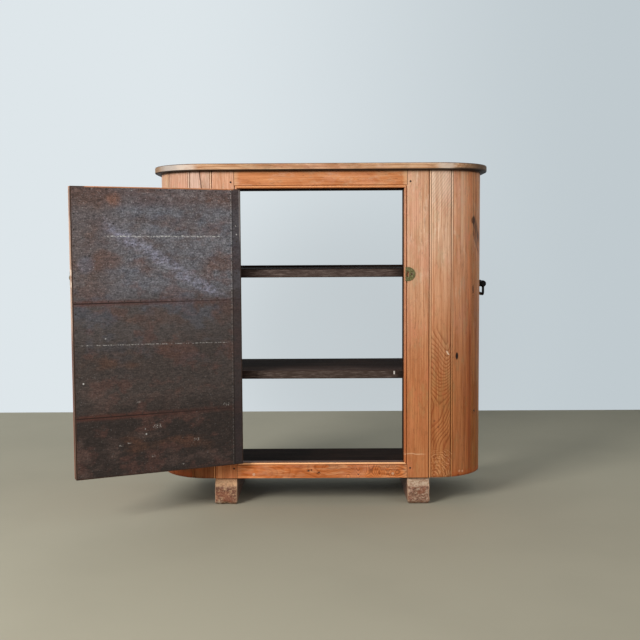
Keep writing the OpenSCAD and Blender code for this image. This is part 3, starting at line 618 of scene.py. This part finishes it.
for rail, pale, deep, gap, sway, figure in (
    ("top_rail", "D68F5E", "AD6434", 0.008, 0.02, 0.4),
    ("bottom_rail", "DC8449", "964818", 0.0032, 0.06, 0.6),
):
    low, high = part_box(rail)
    heart = (low.z + 0.012, FACE_Y + 0.05)
    wood = timber(rail + "_pine", pale, deep, "zyx", heart, gap, sway, taper=0.06, figure=figure, seed=4.0)
    if rail == "bottom_rail":
        for x, z, radius in RAIL_KNOTS:
            knot(wood, (x, FACE_Y, z), radius, lift=2.2, dark=False)
    show_grain(wood, 0.8, 0.5)
    side = wood.x.math("ABSOLUTE")
    wood.stain(side.fade(0.255, 0.268) * (0.4 if rail == "top_rail" else 0.2), "D9B48C")
    if rail == "bottom_rail":
        wood.stain(wood.x.fade(0.0, -0.15) * 0.3, "BE6226")
        wood.shade(wood.ring.fade(0.15, 0.7) * wood.x.fade(-0.06, 0.06) * 0.6, 0.5)
        wood.stain(wood.noise((18, 40, 160), 3.0, 0.7).fade(0.52, 0.64) * 0.35, "EFB07C")
        wood.stain(wood.z.fade(high.z - 0.001, high.z - 0.0002) * 0.8, "2E1B10")
        for x, z, size in RAIL_DENTS:
            mark = wood.x.line(x, size, size * 0.4) * wood.z.line(z, 0.004, 0.0016)
            wood.stain(mark * wood.noise((200, 200, 260)).fade(0.36, 0.46) * 0.95, "33150A")
        # A painted highlight along the crest of the bead at the top of the rail.
        wood.stain(wood.z.line(high.z - 0.0036, 0.0038, 0.002) * 0.95, "FFC08A")
    else:
        # Painted shade under the bead along the foot of the top rail, and a painted highlight along its
        # crest.
        wood.stain(wood.z.fade(low.z + 0.0042, low.z + 0.002) * 0.6, "A55C2C")
        wood.stain(wood.z.line(low.z + 0.0052, 0.0022, 0.001) * 0.85, "F2AE76")
    wood.stain(side.line(SHOULDER_X, JOINT_SOFT, JOINT_HALF) * 0.8, "3A2010")
    shade_and_grime(wood)
    eased(rail, FRAME_EASE, waxed(wood))


def dress(material, *nodes):
    """Gives CAD nodes, left as they are, their finish."""
    for node in nodes:
        mesh = frame["nodes"][node].data
        mesh.materials.clear()
        mesh.materials.append(material)


pegs = smoked("peg_ends", "xzy")
dress(pegs.close(0.0004), "frame_pegs")

# Two round wooden plugs fill old holes in the bottom rail, and two nails show beside them: small low heads,
# driven until they stand hardly proud of the wood.
PLUGS = [(-0.2196, 0.0996), (0.2272, 0.1009)]
PLUG_R = 0.0045
PLUG_RISE = 0.0007
NAILS = [(0.1164, 0.0981), (-0.0443, 0.1102)]
NAIL_R = 0.0022
NAIL_RISE = 0.0002
HEAD_SIDES = 16
HEAD_RINGS = 3


def studs(places, radius, rise):
    """Low round heads on the face of the frame."""
    bm = bmesh.new()
    for x, z in places:
        head = bmesh.ops.create_circle(bm, cap_ends=True, segments=HEAD_SIDES, radius=radius)["verts"]
        bmesh.ops.rotate(bm, verts=head, matrix=Matrix.Rotation(math.pi / 2, 3, "X"))
        bmesh.ops.translate(bm, verts=head, vec=(x, FACE_Y, z))
        cap = next(f for f in head[0].link_faces)
        steps = [math.sin(k / HEAD_RINGS * math.pi / 2) for k in range(HEAD_RINGS + 1)]
        for lower_step, upper_step in zip(steps, steps[1:]):
            up = rise * (upper_step - lower_step)
            bmesh.ops.inset_region(bm, faces=[cap], thickness=radius * 0.3, depth=0.0)
            bmesh.ops.translate(bm, verts=cap.verts, vec=(0, -up, 0))
    bmesh.ops.recalc_face_normals(bm, faces=bm.faces)
    return bm


plug_wood = timber("plug_wood", "DDB391", "B98058", "xzy", (0.0, 0.1), ring_gap=0.003, sway=0.004)
show_grain(plug_wood)
finished(studs(PLUGS, PLUG_R, PLUG_RISE), "rail_plugs", "case", waxed(plug_wood))
nail_iron = Finish("nail_iron", "2A211B", 0.7)
nail_iron.stain(nail_iron.noise(900).fade(0.45, 0.6), "4A3426")
finished(studs(NAILS, NAIL_R, NAIL_RISE), "rail_nails", "case", nail_iron.close())

# The rounded ends: six narrow tongued and grooved boards each side, beaded on one edge, coopered round the
# corner and nailed to the floor board and to the former under the top. No two were cut alike.
BOARD_EASE = 0.0006
BOARDS = 6
CORNER_R = 0.165
CORNER_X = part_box("right_end_board_6")[1].x - CORNER_R
CORNER_Y = FACE_Y + CORNER_R
FIRST_BOARD = 0.072
SECOND_BOARD = 0.0875
RUN_END = CORNER_X + CORNER_R * math.pi / 2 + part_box("right_end_board_6")[1].y - CORNER_Y
JOINTS = [STILE_EDGE, STILE_EDGE + FIRST_BOARD, STILE_EDGE + FIRST_BOARD + SECOND_BOARD]
JOINTS += [JOINTS[2] + (RUN_END - JOINTS[2]) * k / 4 for k in range(1, 5)]
HEART_DEPTH = (0.05, 0.14)
HEART_SHIFT = (-0.03, 0.03)
RING_GAP = (0.005, 0.0075)
TAPER = (0.005, 0.02)
USUAL_SHADES = ("D2A17C", "A87451", "D2AC82")
# Pale, deep and glaze of each board. The left boards' darker glaze is also painted shade, from the open door,
# towards their foot.
SHADES = {
    "right_end_board_1": ("E9C3A4", "B37B58", "D6AE80"),
    "right_end_board_2": ("EBB28C", "BC7E58", "D4B590"),
    "right_end_board_3": ("E5A06E", "A5633A", "CDB684"),
    "left_end_board_1": ("DDB8A2", "B08468", "B88A5C"),
    "left_end_board_2": ("D2A68C", "A97456", "B88A5C"),
    "left_end_board_3": ("DDB08D", "B07C5C", "B88A5C"),
}
SAW_MARKS = math.tau / 0.0075
CURLS = math.tau / 0.0085
CURL_HEART = (0.363, FACE_Y, 0.098)
CHIP_X, CHIP_Z = 0.4022, 0.4892
SMALL_KNOTS = ((0.3600, FACE_Y, 0.2707), (0.3728, FACE_Y, 0.2513))
KNOT_HEAD = (0.4895, -0.1315, 0.911)
KNOT_HOLE = (0.4335, -0.1777, 0.4776)
FOOT_CHIPS = ((0.4438, -0.1721, 0.1028), (0.4545, -0.1653, 0.1012))
FOOT_HOLE = (0.4404, -0.1741, 0.090)
SLANT_RUN, SLANT_Z = 0.507, 0.915
STAR = (0.4972, -0.1217, 0.2901)
KNOTS = {
    "right_end_board_4": ((0.522, -0.06, 0.55), 0.009),
    "left_end_board_4": ((-0.522, -0.05, 0.72), 0.011),
    "left_end_board_2": ((-0.44, -0.175, 0.62), 0.007),
    "left_end_board_5": ((-0.525, 0.05, 0.36), 0.008),
}


def round_the_end(wood):
    """How far a place on the case lies from the middle of the front, measured round the corner."""
    out = wood.x.math("ABSOLUTE") - CORNER_X
    turn = out.math("ARCTAN2", CORNER_Y - wood.y).math("MINIMUM", math.pi / 2).math("MAXIMUM", 0.0)
    past = (wood.y - CORNER_Y).math("MAXIMUM", 0.0)
    return turn * CORNER_R + out.math("MINIMUM", 0.0) + past + CORNER_X


def first_right_board(wood):
    """Slanting saw marks at the top, a pale chip, two small dead knots and curled rings at the foot."""
    wood.stain(wood.z.line(0.66, 0.17, 0.08) * 0.3, "C27A4A")
    wood.stain(wood.z.fade(0.93, 1.02) * 0.28, "EFDCC6")
    marks = (wood.x * 0.819 - wood.z * 0.574 + wood.wobble(25, 0.006)) * SAW_MARKS
    wood.shade(marks.math("SINE").fade(-0.2, 0.9) * wood.z.fade(0.9, 0.97) * 0.55, 0.72)
    chip = (wood.x - CHIP_X + (wood.z - CHIP_Z) * 0.6).line(0.0, 0.0035, 0.0015)
    wood.stain(chip * wood.z.line(CHIP_Z, 0.008, 0.005) * 0.75, "EBCDB0")
    for place in SMALL_KNOTS:
        wood.stain(wood.spot(place, 0.005) * 0.6, "6A3A20")
    uneven = 0.35 + 0.65 * wood.noise((60, 60, 35), 3.0, 0.7).fade(0.4, 0.6)
    wood.shade(wood.ring.fade(0.3, 0.95) * wood.z.fade(0.66, 0.54) * uneven * 0.42, 0.55)
    away = wood.vector("DISTANCE", wood.at, CURL_HEART, output="Value")
    curl = ((away + wood.wobble(35, 0.03, 3.0, 0.7)) * CURLS).math("SINE")
    foot = wood.z.fade(0.19, 0.165) * wood.noise(90, 3.0, 0.7).fade(0.42, 0.56)
    wood.stain(foot * curl.fade(0.1, 0.8) * 0.38, "E2AE7C")
    wood.stain(foot * curl.fade(-0.3, -0.9) * 0.45, "6E3A1A")


def first_left_board(wood):
    """A bleached strip beside the joint and a wavering crack, both near the top."""
    wood.stain(wood.run.fade(0.382, 0.386) * wood.z.fade(0.9, 1.0) * 0.3, "D3B9AA")
    crack = wood.run + wood.wobble(60, 0.004) - (wood.z - 1.04) * 0.1
    wood.stain(crack.line(0.3785, 0.0026, 0.0012) * wood.z.fade(0.9, 0.98) * 0.85, "54301F")


def second_right_board(wood):
    """A paler band near the top, a knot hole, a red stripe low down, and chips and a hole at the foot. Both
    holes are painted near black, as painted shade inside them.
    """
    wood.stain(wood.run.line(0.4546, 0.008, 0.002) * wood.z.fade(0.75, 0.88) * 0.45, "E2BE9E")
    wood.colour = wood.mix(wood.run.fade(0.464, 0.492), wood.colour, tone("FFE3CD"), "MULTIPLY")
    wood.stain(wood.spot(KNOT_HEAD, 0.014) * 0.75, "2A150B")
    away = wood.vector("MULTIPLY", wood.vector("SUBTRACT", wood.at, KNOT_HOLE), (1, 1, 0.42))
    wood.stain(wood.vector("LENGTH", away, output="Value").fade(0.0062, 0.0036), "140705")
    wood.stain(wood.run.line(0.4920, 0.006, 0.002) * wood.z.fade(0.66, 0.5) * 0.55, "743819")
    for place in FOOT_CHIPS:
        wood.stain(wood.spot(place, 0.005) * 0.85, "EBBE96")
    wood.stain(wood.spot(FOOT_HOLE, 0.006, 0.4) * 0.8, "1C0F08")


def third_right_board(wood):
    """A long dark slanting knot near the top, and dead marks lower down and along the joint."""
    wood.stain(wood.spot(KNOT_HEAD, 0.017) * 0.9, "1E100A")
    for shift, width, dark in ((0.0, 0.024, 0.8), (0.040, 0.010, 0.6)):
        across = (wood.run - SLANT_RUN) * 0.807 + (wood.z - SLANT_Z + shift) * 0.590
        along = (wood.run - SLANT_RUN) * 0.590 - (wood.z - SLANT_Z + shift) * 0.807
        slant = (across + wood.wobble(30, 0.012, 3.0)).line(0.0, width, width * 0.3)
        slant = slant * along.fade(-0.012, 0.004) * along.fade(0.105, 0.07)
        stripes = wood.noise((150, 150, 20), 3.0, 0.7).fade(0.4, 0.6)
        wood.stain(slant * dark * (0.6 + 0.5 * stripes), "452612")
    wood.stain(wood.spot(STAR, 0.011, 0.6) * wood.noise(160).fade(0.42, 0.55), "2A170C")
    dead = wood.run.line(JOINTS[2] + 0.003, 0.005, 0.002) * wood.z.line(0.683, 0.024, 0.016)
    wood.stain(dead * wood.noise((60, 60, 120)).fade(0.45, 0.55) * 0.9, "24130A")


MARKS = {
    "right_end_board_1": first_right_board,
    "right_end_board_2": second_right_board,
    "right_end_board_3": third_right_board,
    "left_end_board_1": first_left_board,
}
random.seed(11)
for side, sign in (("left", -1), ("right", 1)):
    for k in range(1, BOARDS + 1):
        board = f"{side}_end_board_{k}"
        low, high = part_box(board)
        centre = (low + high) / 2
        inward = Vector((-centre.x, -centre.y, 0)).normalized()
        sideways = Vector((-inward.y, inward.x, 0))
        heart = centre + inward * random.uniform(*HEART_DEPTH) + sideways * random.uniform(*HEART_SHIFT)
        gap = random.uniform(*RING_GAP)
        pale, deep, glaze = SHADES.get(board, USUAL_SHADES)
        if board == "right_end_board_1":
            wood = timber(board + "_pine", pale, deep, "xyz", (0.380, -0.158), ring_gap=0.0062, sway=0.010,
                          taper=0.01, lean=(0.035, 0.36, 0.2), climb=(0.095, 0.53, 0.31), seed=3.0)
            wood.figure = 0.3 + 0.9 * wood.z.fade(0.66, 0.52)
            knot(wood, (0.3625, FACE_Y, 0.483), 0.010, lift=1.8, dark=False)
            knot(wood, (0.372, FACE_Y, 0.175), 0.012, lift=1.8, dark=False)
        else:
            wood = timber(board + "_pine", pale, deep, "xyz", (heart.x, heart.y), gap,
                          taper=random.uniform(*TAPER), figure=0.45, seed=k * 3.1 + sign)
        if board in KNOTS:
            knot(wood, *KNOTS[board])
        show_grain(wood)
        wood.run = round_the_end(wood)
        bead_highlight(wood, wood.run, JOINTS[k])
        warm_to_foot(wood, glaze)
        if board in MARKS:
            MARKS[board](wood)
        for at in JOINTS[k - 1 : k + 1]:
            wood.stain(wood.run.line(at, JOINT_SOFT, JOINT_HALF) * 0.5, "6A3212")
        if k > 1:
            worn = wood.z + wood.wobble(40, 0.03, 3.0, 0.7)
            wood.stain(worn.fade(FOOT_Z + 0.028, FOOT_Z + 0.006) * 0.6, "AF5424")
        shade_and_grime(wood)
        wood.shade(wood.z.fade(FOOT_Z + 0.008, FOOT_Z), 0.6)
        eased(board, BOARD_EASE, waxed(wood))

for post in ("left_rear_post", "right_rear_post"):
    heart = (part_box(post)[0].x, 0.3)
    wood = timber(post + "_pine", "B98660", "8A5A38", "xyz", heart, ring_gap=0.005, sway=0.008, taper=0.01)
    show_grain(wood)
    shade_and_grime(wood)
    eased(post, 0.001, waxed(wood))

# The top: a former that the boards are nailed to, and a nosed pine top over it, orange in the middle of its
# front edge, weathered grey brown round the ends, rubbed pale at the turns and marked by hot dishes above.
PALE_TURNS = (((0.396, -0.216, 1.084), 0.042), ((-0.425, -0.2, 1.082), 0.05))

former = timber("former_pine", "A9764F", "7A4C2C", "zyx", (1.02, 0.0), ring_gap=0.007, sway=0.02, taper=0.01)
show_grain(former)
dress(waxed(former), "top_former")

low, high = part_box("top_board")
top = timber("top_board_pine", "E1BB95", "A87550", "yzx", (0.03, high.z - 0.07), ring_gap=0.007, sway=0.03,
             taper=0.03, figure=0.6)
show_grain(top, 1.0, 0.6)
side = top.x.math("ABSOLUTE")
top.stain((side + (top.patch - 0.5) * 0.1).fade(0.38, 0.5) * 0.8, "7E644A")
top.stain(top.x.fade(0.44, 0.52) * 0.7, "4E3622")
top.stain(top.x.fade(-0.40, -0.44) * top.x.fade(-0.53, -0.49) * 0.65, "C6BFB8")
top.stain(top.noise(14, 4.0, 0.6).fade(0.48, 0.7) * 0.35, "59463A")
for centre, radius in PALE_TURNS:
    pale_turn = top.spot(centre, radius, 0.7) * top.noise((40, 40, 90), 3.0).fade(0.3, 0.5)
    top.stain(pale_turn * top.z.fade(high.z - 0.001, high.z - 0.004) * 0.8, "CDBBAA")
upper_edge = top.z.fade(high.z - 0.0035, high.z - 0.0012)
top.stain(upper_edge * (0.6 + 0.3 * side.fade(0.38, 0.43)), "4E3626")
# Painted shade with some dirt on the lower rounding of the nosing, which faces down. It is wider and darker
# at the right end.
top.stain(top.x.fade(0.40, 0.44) * top.z.fade(low.z + 0.0085, low.z + 0.0055) * 0.85, "3A2618")
top.stain(top.z.fade(low.z + 0.0046, low.z + 0.0026) * 0.95, "20120A")
top.roughness = 0.45 + 0.3 * top.fibre
top_material = top.close(PINE_RELIEF, specular_ior_level=PINE_GLOSS)
finished(copied("top_board"), "top_board_wood", "case", top_material, ["top_board"],
         smooth_below=50)

# The door: a mortised and tenoned pine frame with two flat panels. Its inside is hidden by the tin, and its
# edges show a rim of bare orange wood.
HINGE = next(j for j in frame["joints"] if j["name"] == "door_hinge")
PIN = Vector((HINGE["pos_m"][0], HINGE["pos_m"][1], 0))
OPEN_ANGLE = math.radians(HINGE["range_deg"][1])
TO_SHUT = Matrix.Rotation(OPEN_ANGLE, 4, "Z") @ Matrix.Translation(-PIN)
DOOR_EASE = 0.0009
PALE_PATCHES = (0.757, 0.722)


def as_if_shut(finish):
    """A finish's place on the door, measured from the hinge pin as if the door were shut."""
    moved = finish.vector("SUBTRACT", finish.at, tuple(PIN))
    turn = {"Vector": moved, "Angle": OPEN_ANGLE}
    return finish.node("ShaderNodeVectorRotate", {"rotation_type": "Z_AXIS"}, turn)


def shut_box(node):
    """A door node's lowest and highest corners, measured from the hinge pin as if the door were shut."""
    shut = [TO_SHUT @ v.co for v in frame["nodes"][node].data.vertices]
    return [Vector([pick(p[k] for p in shut) for k in range(3)]) for pick in (min, max)]


def free_edge(wood, far, thick):
    """The door's free edge: rubbed pale along both corners, brown between, red and dirty lower down."""
    edge = wood.x.fade(far - 0.0012, far - 0.0006)
    share = wood.y / thick
    foot = wood.z.fade(0.62, 0.52)
    wood.stain(edge * 0.85, "DDB9A2")
    wood.stain(edge * foot * 0.9, "8E3C20")
    wood.stain(edge * share.fade(0.3, 0.42) * (0.5 + 0.35 * wood.z.line(0.96, 0.06, 0.03)), "5A3324")
    wood.stain(edge * foot * share.fade(0.3, 0.42) * 0.9, "2A120A")
    wood.stain(edge * share.line(0.76, 0.11, 0.05) * (0.45 + 0.3 * foot), "A07A62")
    for z in PALE_PATCHES:
        wood.stain(edge * wood.z.line(z, 0.012, 0.005) * 0.8, "E6CBB6")
    # A painted shadow along the edge, where it meets the tin.
    wood.stain(edge * share.fade(0.90, 0.97) * 0.9, "1E120C")


door_high = shut_box("door_hinge_stile")[1]
for member, order, heart, pale in (
    ("door_hinge_stile", "xyz", (0.09, 0.07), "D09670"),
    ("door_lock_stile", "xyz", (0.60, 0.03), "D39C77"),
    ("door_top_rail", "zyx", (1.0, 0.08), "CC9068"),
    ("door_middle_rail", "zyx", (0.55, 0.09), "CD9169"),
    ("door_bottom_rail", "zyx", (0.18, 0.08), "C98B62"),
    ("door_upper_panel", "xyz", (0.24, 0.09), "D7A582"),
    ("door_lower_panel", "xyz", (0.30, 0.10), "D29C76"),
):
    wood = timber(member + "_pine", pale, "A4683F", order, heart, sway=0.015, figure=0.55, place=as_if_shut,
                  seed=heart[0] * 7)
    if member == "door_lock_stile":
        knot(wood, (0.49, 0.0, 0.36), 0.007)
    show_grain(wood, 1.0, 0.6)
    warm_to_foot(wood, "C8A783")
    if member == "door_lock_stile":
        free_edge(wood, shut_box(member)[1].x, door_high.y)
    bare = wood.z.fade(door_high.z - 0.004, door_high.z - 0.002)
    bare = bare * wood.x.fade(0.49, 0.475) * wood.x.fade(0.02, 0.03)
    wood.stain(wood.z.fade(door_high.z - 0.003, door_high.z - 0.001) * 0.5, "C8763F")
    margin = wood.y.fade(door_high.y - 0.0012, door_high.y - 0.0006)
    wood.stain(margin * (1 - bare) * 0.95, "2C201A")
    wood.stain(wood.x.fade(0.0035, 0.0025) * 0.85, "33241C")
    shade_and_grime(wood)
    eased(member, DOOR_EASE, waxed(wood), body="door")

# The door's lining: three tinned sheets and a narrow strip, tacked over the wood to keep the heat in. The tin
# has gone dark brown, with scratches on the upper sheet and bright worn lines at the creases, and painted
# sheen makes it paler and greyer towards the top.
UPPER_CREASE = 0.8625
LOWER_CREASE = 0.533
SHEETS = {
    "door_tin_top": [UPPER_CREASE],
    "door_tin_middle": [LOWER_CREASE],
    "door_tin_bottom": [],
    "door_tin_strip": [],
}
SHEET_STEP = 0.012
DENT = 0.00022
CREASE_RISE = 0.0004
CREASE_HALF = 0.01
HELD_EDGE = 0.02
TIN_T = 0.0006
TIN_FACE = 0.0345
STRIP_EDGE = shut_box("door_tin_strip")[1].x
SEAMS = [corner.z for corner in shut_box("door_tin_middle")]
RUST_BLOOM = (0.398, TIN_FACE, 0.972)
BLUE_BLOOM = (0.484, TIN_FACE, 0.779)
CHIPS = [
    (0.498, 0.4293, 0.0034, 0.8), (0.3123, 0.2647, 0.0032, 0.65), (0.3151, 0.2803, 0.0026, 0.4),
    (0.430, 0.560, 0.0032, 0.4), (0.0172, 0.895, 0.003, 0.8), (0.0152, 0.868, 0.003, 0.7),
]
SCRAPES = [
    (0.2778, 0.2864, 0.016, 0.75), (0.1549, 0.2356, 0.012, 0.6), (0.3893, 0.2348, 0.008, 0.6),
    (0.3649, 0.2417, 0.007, 0.6), (0.3350, 0.3643, 0.009, 0.5), (0.0553, 0.3381, 0.012, 0.7),
    (0.4654, 0.4451, 0.008, 0.5), (0.1978, 0.1612, 0.007, 0.6), (0.2919, 0.1951, 0.008, 0.5),
]
DARK_DOTS = [(0.4729, 0.8051), (0.344, 0.8382), (0.2557, 1.0011), (0.40, 0.9), (0.12, 0.70)]


def tin_finish():
    """One finish for all the sheets, so that the painted sheen and the scratches run across them."""
    tin = Finish("old_tin", "2D2420", 0.5)
    tin.at = as_if_shut(tin)
    x, y, z = tin.split(tin.at)
    ragged = z + tin.wobble((7, 7, 9), 0.12, 4.0)
    # Painted sheen: the tin paler and greyer in ragged bands towards the top.
    for start, end, colour in ((0.30, 0.40, "3F3632"), (0.48, 0.62, "4A4341"), (0.64, 0.72, "5F5D62")):
        tin.stain(ragged.fade(start, end), colour)
    tin.stain(tin.noise((13, 13, 17), 4.0, 0.6).fade(0.5, 0.62) * 0.4, "5A3B33")
    tin.stain(tin.noise((11, 11, 15), 4.0, 0.6).fade(0.5, 0.38) * z.fade(0.4, 0.7) * 0.4, "4C525E")
    blotches = tin.noise((9, 9, 14), 5.0, 0.65)
    tin.stain(blotches.fade(0.5, 0.66) * 0.55, "51403A")
    tin.stain(x.fade(0.33, 0.47) * z.fade(0.66, 0.72) * 0.55, "584840")
    tin.stain(z.fade(0.93, 0.975) * 0.65, "533E37")
    tin.stain(tin.noise((6, 6, 11), 4.0).fade(0.55, 0.7) * 0.45, "5B3B2B")
    tin.stain(tin.spot(RUST_BLOOM, 0.03, 0.8) * 0.35, "8C5B40")
    tin.stain(tin.spot(BLUE_BLOOM, 0.034, 0.6) * 0.32, "5F6878")
    grit = tin.noise((185, 185, 215), 3.0, 0.8)
    coarse = tin.noise((60, 60, 85), 4.0, 0.7)
    smear = z - x * 0.61 - 0.636 + tin.wobble(16, 0.05, 4.0)
    band = smear.line(0.0, 0.032, 0.002) * z.fade(0.66, 0.7) * x.fade(0.44, 0.40)
    tin.stain(band * (0.25 + coarse.fade(0.4, 0.6) * 0.6), "7D7C8B")
    # Painted sheen on the upper part: a grey haze, and speckle that grows stronger and paler towards the top.
    grey_sheen = tin.noise((24, 24, 40), 4.0, 0.7).fade(0.42, 0.62) * z.fade(0.66, 0.75)
    tin.stain(grey_sheen * x.fade(0.42, 0.34) * 0.2, "858487")
    tin.weigh(1 + (grit - 0.5) * 3.2 * (0.6 + 0.4 * ragged.fade(0.6, 0.75)))
    tin.weigh(1 + tin.wobble((75, 75, 330), 2.2, 3.0, 0.75))
    tin.weigh(1 + (coarse - 0.5) * 1.2)
    pale_speck = tin.noise((240, 240, 260), 2.0, 0.6).fade(0.62, 0.7) * coarse.fade(0.42, 0.56)
    tin.stain(pale_speck * (0.2 + 0.55 * ragged.fade(0.58, 0.8)), "ADACAD")
    wiggle = tin.wobble(75, 0.010)
    dotted = tin.noise(210, 2.0, 0.6).fade(0.46, 0.56)
    upper = (z + wiggle).line(UPPER_CREASE, 0.0026, 0.0008) * x.fade(0.055, 0.08) * x.fade(0.435, 0.41)
    tin.stain(upper * dotted * 0.9, "BEBCB9")
    lower = (z + wiggle * 0.3 - x * 0.0206).line(0.5318, 0.0018, 0.0005)
    tin.stain(lower * x.fade(0.03, 0.05) * x.fade(0.52, 0.50) * dotted * 0.75, "A8A39E")
    outer = x.fade(0.1, 0.4)
    for seam in SEAMS:
        tin.stain(z.line(seam, 0.014, 0.001) * (0.2 + 0.3 * outer), "5A3025")
        tin.stain(z.line(seam, 0.0024, 0.0009) * (0.55 + 0.4 * outer), "1E0F0B")
    tin.stain(x.line(STRIP_EDGE, 0.0022, 0.0008) * 0.85, "1C1310")
    rim = x.line(STRIP_EDGE + 0.0048, 0.0018, 0.0006) * dotted
    tin.stain(rim * (0.2 + 0.45 * z.fade(0.5, 0.75)), "A5A19D")
    tin.stain(x.fade(STRIP_EDGE, STRIP_EDGE - 0.003) * 0.65, "2E2425")
    tin.stain(x.line(0.004, 0.003, 0.0012) * z.fade(0.83, 0.87) * 0.75, "A9A19E")
    nicks = tin.noise((240, 240, 330), 2.0, 0.6).fade(0.52, 0.6)
    for chip_x, chip_z, size, amount in CHIPS:
        tin.stain(tin.spot((chip_x, TIN_FACE, chip_z), size) * amount, "D2CFCA")
    for scrape_x, scrape_z, size, amount in SCRAPES:
        near = x.line(scrape_x, size, size * 0.5) * z.line(scrape_z, size * 0.5, size * 0.2)
        tin.stain(near * nicks * amount, "B5AFA9")
    for dot_x, dot_z in DARK_DOTS:
        tin.stain(tin.spot((dot_x, TIN_FACE, dot_z), 0.0035, 0.4) * 0.8, "120D0B")
    # Painted shade in the corners and crevices of the lining.
    tin.stain(tin.crevices(0.006) * 0.8, "1B1512")
    tin.roughness = 0.46 + 0.25 * blotches
    tin.relief = grit * 0.5 + tin.noise(60, 3.0)
    return tin.close(0.00018, metallic=0.1, specular_ior_level=0.25)


tin_material = tin_finish()
for sheet_name, creases in SHEETS.items():
    low, high = shut_box(sheet_name)
    size = high - low
    columns = max(2, round(size.x / SHEET_STEP))
    rows = round(size.z / SHEET_STEP * 2)
    bm = bmesh.new()
    bmesh.ops.create_grid(bm, x_segments=columns, y_segments=rows, size=0.5)
    bmesh.ops.scale(bm, verts=bm.verts, vec=(size.x, size.z, 1))
    bmesh.ops.rotate(bm, verts=bm.verts, matrix=Matrix.Rotation(math.pi / 2, 3, "X"))
    bmesh.ops.translate(bm, verts=bm.verts, vec=((low.x + high.x) / 2, high.y, (low.z + high.z) / 2))
    for v in bm.verts:
        swell = noise.fractal(Vector((v.co.x * 9, 3, v.co.z * 9)), 1.0, 2.0, 2)
        ridge = sum(max(0.0, 1 - abs(v.co.z - c) / CREASE_HALF) for c in creases)
        edge = min(v.co.x - low.x, high.x - v.co.x, v.co.z - low.z, high.z - v.co.z)
        v.co.y += (DENT * swell + CREASE_RISE * ridge) * min(1.0, edge / HELD_EDGE)
    bmesh.ops.recalc_face_normals(bm, faces=bm.faces)
    if bm.faces[:][0].normal.y < 0:
        bmesh.ops.reverse_faces(bm, faces=bm.faces)
    bmesh.ops.solidify(bm, geom=bm.faces[:], thickness=TIN_T)
    bm.transform(TO_SHUT.inverted())
    finished(bm, sheet_name + "_sheet", "door", tin_material, [sheet_name], smooth_below=60)

tack_iron = Finish("tack_iron", "1D1815", 0.5)
tack_iron.stain(tack_iron.noise(500).fade(0.5, 0.65), "4D3A2E")
dress(tack_iron.close(metallic=0.4), "door_tacks")

lining = Finish("smoked_tin", "2B2421", 0.5)
lining.stain(lining.noise((9, 9, 14), 5.0, 0.65).fade(0.45, 0.65), "42332B")
lining.stain(lining.noise((260, 260, 300), 2.0, 0.7).fade(0.6, 0.7) * 0.5, "6B6664")
# Painted shade in the corners inside the case.
lining.stain(lining.crevices(0.02) * 0.7, "120E0C")
lining.relief = lining.noise(20, 3.0)
dress(lining.close(0.0008, metallic=0.3), "left_lining", "right_lining")

# The hinges: two cast iron butts with loose pins, let into the door and the frame and screwed on, painted
# over and rusted. The turn's tongue and the strike's screw are of the same old iron.
rust = Finish("hinge_iron", "2E2622", 0.6)
rust.stain(rust.noise(160, 4.0, 0.6).fade(0.5, 0.62) * 0.8, "5A3B28")
rust.relief = rust.noise(500, 3.0)
dress(rust.close(0.0003, metallic=0.6), "upper_hinge_case_leaf", "upper_hinge_door_leaf",
      "lower_hinge_case_leaf", "lower_hinge_door_leaf", "hinge_pins", "case_hinge_screws",
      "door_hinge_screws", "turn_tongue", "strike_screw")

# The turn on the door and its half-round strike plate on the frame: thin cast brass gone green and brown,
# darkest round the rims and bright only where fingers and the tongue rub.
old_brass = Finish("old_brass", "746C46", 0.45)
old_brass.stain(old_brass.noise(260, 3.0, 0.6).fade(0.45, 0.65), "4E4A2C")
old_brass.stain(old_brass.noise(120).fade(0.55, 0.7) * 0.7, "9A9878")
old_brass.stain(old_brass.crevices(0.004) * 0.9, "1F190C")
old_brass.relief = old_brass.noise(420, 3.0)
dress(old_brass.close(0.0003, metallic=0.7), "turn_plate", "turn_knob", "strike_plate")

# The lifting handles: a cast iron back plate with two bosses on each end of the case, and a bail that hangs
# from them, black with old stove polish.
black = Finish("stove_black", "0F0D0C", 0.5)
black.stain(black.noise(200, 4.0, 0.6).fade(0.55, 0.7) * 0.6, "33261E")
black.relief = black.noise(300, 3.0)
dress(black.close(0.0005, specular_ior_level=0.12), "left_handle_plate", "left_handle_bail",
      "right_handle_plate", "right_handle_bail", "handle_screws")
